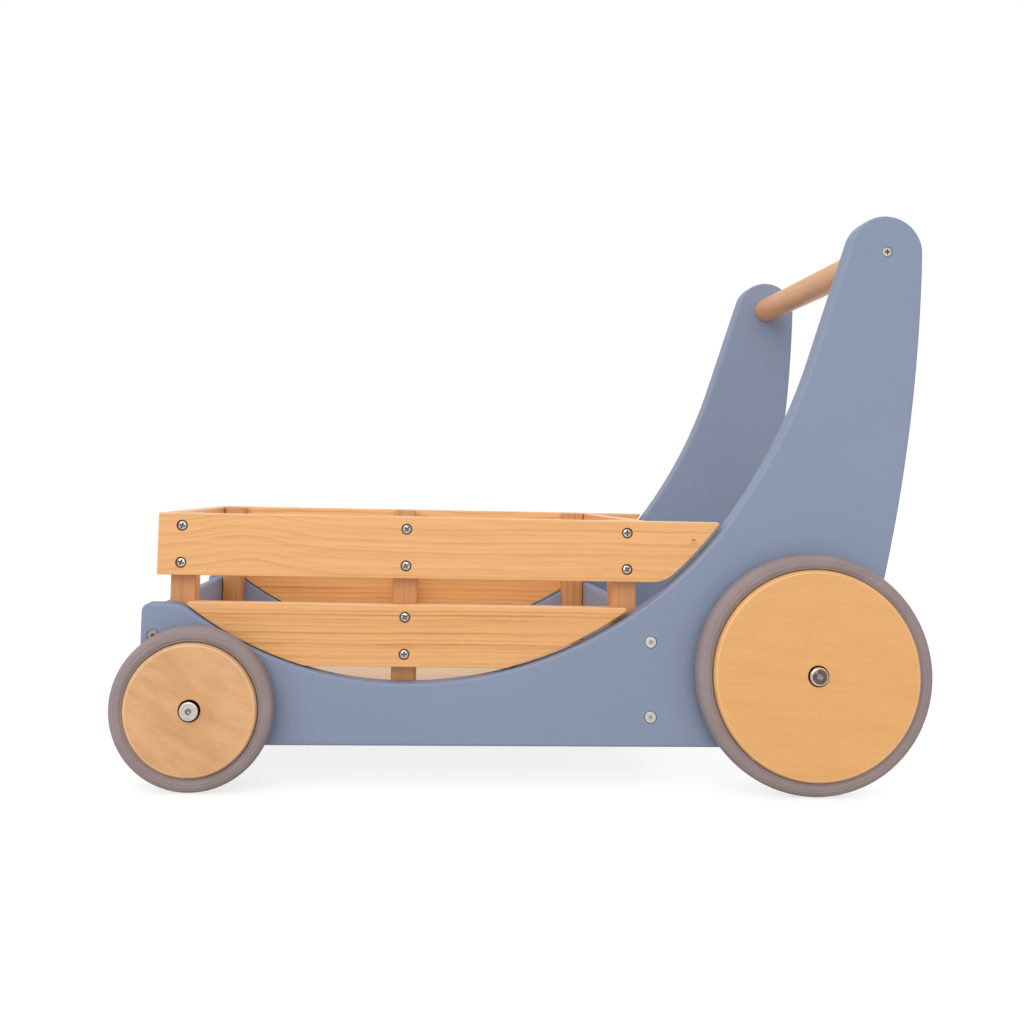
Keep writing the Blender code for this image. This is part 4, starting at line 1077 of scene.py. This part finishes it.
# %% Socket outlines and heads
def hexagon(flats, count=96):
    """Angles, and a hexagon's reach at each: half its width across flats over the cosine of the angle from a flat."""
    angle = np.linspace(0, 2 * math.pi, count, endpoint=False)
    return angle, flats / 2 / np.cos((angle + math.pi / 6) % (math.pi / 3) - math.pi / 6)


def cross(arm, wing):
    """Angles, and the reach of a cross with arms of half-width wing: the nearer of the arm's end and its flank.
    The angles include every corner of the cross."""
    end = math.atan2(wing, arm)
    eighth = np.concatenate([np.linspace(0, end, 4)[:-1], np.linspace(end, math.pi / 4, 6)[:-1]])
    quarter = np.concatenate([eighth, math.pi / 2 - np.append(eighth[1:], math.pi / 4)[::-1]])
    angle = (quarter[None] + np.arange(4)[:, None] * math.pi / 2).ravel()
    smaller, larger = np.sort(np.abs([np.cos(angle), np.sin(angle)]), axis=0)
    return angle, np.minimum(arm / larger, wing / np.maximum(smaller, 1e-9))


def driven_head(socket, turn, rim, top, deep, bevel, side, shank, tip, dome=0.0, dark=0.85, shade=0.0, dim=0.0):
    """A screw or bolt as one polar grid. Rings from the middle out: socket bottom, socket floor, socket mouth, then
    mixes of the mouth and a circle, circles to the rim, the bevel, the head's side, the shank and its tip. Top is the
    depth of the head's face, raised by dome (1 - (r / rim)^2) towards the middle. The mask paints shade, -dark in the
    socket and -0.7 down the side and shank, and a dark reflection, -shade on the face and -dim on the bevel."""
    angle, mouth = socket
    one = np.ones_like(mouth)
    flat = rim - bevel
    mixes = np.linspace(0.0, 1.0, 5)[:, None]
    start, spread = mouth + 0.10 * MM, np.maximum(mouth.max() + 0.35 * MM, 0.55 * flat) * one
    face = np.vstack([start * (1 - mixes) + spread * mixes, np.linspace(spread[0], flat, 6)[1:, None] * one])
    crown = top + dome * (1 - (face / rim) ** 2)
    ease = np.linspace(0, math.pi / 2, 6)[1:, None]
    edge = (flat + bevel * np.sin(ease)) * one
    edge_top = (crown[-1, 0] - bevel * (1 - np.cos(ease))) * one
    under = edge_top[-1, 0] - side
    reach = np.vstack([
        0 * one, mouth * 0.45, mouth * 0.86, mouth, face, edge,
        rim * one, shank * one, shank * one, 0 * one])
    depth = np.vstack([
        (top - deep * 1.15) * one, (top - deep * 1.05) * one, (top - deep) * one, crown[0] - 0.08 * MM, crown, edge_top,
        under * one, (under - (rim - shank)) * one, tip * one, tip * one])
    grid = np.dstack([reach * np.cos(angle + turn), reach * np.sin(angle + turn), depth])
    mask = np.repeat([-dark] * 3 + [-0.65 * dark] + [-shade] * len(face) + [-dim] * len(edge) + [-0.7] * 4, len(angle))
    return grid.reshape(-1, 3), rings_joined(len(reach), len(angle)).tolist(), mask


turns = np.random.default_rng(5).uniform(0, math.pi / 2, 64)
print("cross turned by", np.round(np.degrees(turns[:4])).tolist(), "degrees and so on")

# %% [markdown]
# ## Rail screws
# Each rail is screwed to its posts. The domed heads lie in drilled holes, a little under the wood. Copies of one mesh
# would do, but all crosses would then stand alike, so each head is made with a turn of its own, as a hand leaves it.

# %% Rail screws
RAIL_SCREW = dict(
    socket=cross(2.2 * MM, 0.72 * MM), rim=3.2 * MM, deep=1.5 * MM, bevel=0.5 * MM, side=0.5 * MM, shank=2.0 * MM,
    dome=0.75 * MM)
RAIL_SCREW_UNDER, SIDE_SCREW_TIP, END_SCREW_LENGTH = 1.1 * MM, 0.1217, 22.0 * MM


def rail_screw(name, facing, at, face_depth, turn, tip, nodes):
    """A domed cross-head screw, narrower than its hole and under the wood's face, so a dark ring shows round it. The
    ring is deepened by the painted shade on the hole's wall.
    """
    points, faces, mask = driven_head(turn=turn, top=face_depth - RAIL_SCREW_UNDER, tip=tip, **RAIL_SCREW)
    return piece(name, stand(facing, points, at), faces, screw_nickel, "frame", nodes, mask)


driven = 0
for side, sign in SIDES:
    for screw in RAIL_SCREWS["upper"] + RAIL_SCREWS["lower"]:
        node = f"{side}_{screw}"
        rail_screw(node + "_head", ("side", sign), box_middle(node), RAIL_OUT, turns[driven], SIDE_SCREW_TIP, [node])
        driven += 1
for end, sign in ENDS:
    for number, spot in enumerate(END_SCREWS):
        name, tip = f"{end}_end_rail_screw_{number + 1}", end_face[end] - END_SCREW_LENGTH
        rail_screw(name, ("end", sign), spot, end_face[end], turns[driven], tip, [])
        driven += 1
print(driven, "rail screws")

# %% [markdown]
# ## Panel fixings
# One cross-head screw holds each end of the handle, and two flat bolts with hexagon sockets hold each end of a cross
# board. They sit flush with the paint, so they are the same polar grid with a flat face and a narrow bevel.

# %% Handle screws and board bolts
PANEL_BOLT_TIP = 0.1047
HANDLE_SCREW = dict(
    socket=cross(2.0 * MM, 0.5 * MM), turn=0.06, rim=3.75 * MM, top=PANEL_OUT - 0.12 * MM, deep=1.4 * MM,
    bevel=0.25 * MM, side=0.3 * MM, shank=2.25 * MM, tip=PANEL_BOLT_TIP, dome=0.05 * MM)
# The bolts' dark and dim paint shade in the socket and on the bevel.
BOARD_BOLT = dict(
    socket=hexagon(2.7 * MM), rim=4.45 * MM, top=PANEL_OUT - 0.05 * MM, deep=1.6 * MM, bevel=0.4 * MM,
    side=0.5 * MM, shank=3.0 * MM, tip=PANEL_BOLT_TIP, dark=0.5, dim=0.3)
for side, sign in SIDES:
    node = f"{side}_handle_screw"
    points, faces, mask = driven_head(**HANDLE_SCREW)
    piece(node + "_head", stand(("side", sign), points, box_middle(node)), faces, warm_nickel,
          "frame", [node], mask)
    for number, bolt in enumerate(BOARD_BOLTS):
        node = f"{side}_{bolt}"
        # The front bolts take the darker copy of the bolt steel, a painted reflection of the tyre beside them.
        finish = painted_reflection_nickel if bolt.startswith("front") else bolt_nickel
        points, faces, mask = driven_head(turn=turns[40 + number], **BOARD_BOLT)
        piece(node + "_head", stand(("side", sign), points, box_middle(node)), faces, finish,
              "frame", [node], mask)
print("two handle screws and", 2 * len(BOARD_BOLTS), "board bolts")

# %% [markdown]
# ## Axle bolts
# Each wheel turns on a bolt whose head stands in the hub: a flat one in front, a domed and polished one behind. The
# bolts are screwed into the panels, so they ride on the frame and stay still while the wheels turn. A beech ring keeps
# each wheel off its panel. Both are made with what is already here: the polar grid and the lathe.

# %% Axle bolts and spacers
AXLE_TIP, AXLE_SHANK = 0.138, 4.0 * MM
# The sockets' dark is painted shade; the rear head's shade and dim paint a dark reflection on its face and bevel.
AXLE_HEAD = {
    "front": dict(socket=hexagon(4.4 * MM), turn=0.2, rim=6.9 * MM, top=DISC_OUT + 3.0 * MM, deep=2.4 * MM,
                  bevel=0.8 * MM, side=5.9 * MM, dark=0.6),
    "rear": dict(socket=hexagon(4.2 * MM), turn=0.5, rim=7.1 * MM, top=DISC_OUT + 2.1 * MM, deep=0.9 * MM,
                 bevel=1.7 * MM, side=4.3 * MM, dome=0.9 * MM, dark=0.5, shade=0.82, dim=0.25)}
AXLE_FINISH = {"front": warm_nickel, "rear": bright_chrome}
for end, _ in ENDS:
    for side, sign in SIDES:
        name = f"{end}_{side}"
        points, faces, mask = driven_head(shank=AXLE_SHANK, tip=AXLE_TIP, **AXLE_HEAD[end])
        piece(name + "_axle_head", stand(("side", sign), points, wheel_spots[end]), faces, AXLE_FINISH[end],
              "frame", [name + "_axle_bolt"], mask)
        low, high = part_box(name + "_axle_spacer")
        near, far = sorted(abs(y) for y in (low.y, high.y))
        wide = (high.z - low.z) / 2
        corners = [(AXLE_BORE, near), (wide, near), (wide, far), (AXLE_BORE, far)]
        points, faces = spun(filleted(corners, np.array([0.3, 0.8, 0.8, 0.3]) * MM), 72, True)
        piece(name + "_spacer_ring", stand(("side", sign), points, wheel_spots[end]), faces, beech,
              "frame", [name + "_axle_spacer"])
print("four axle bolts on spacers")
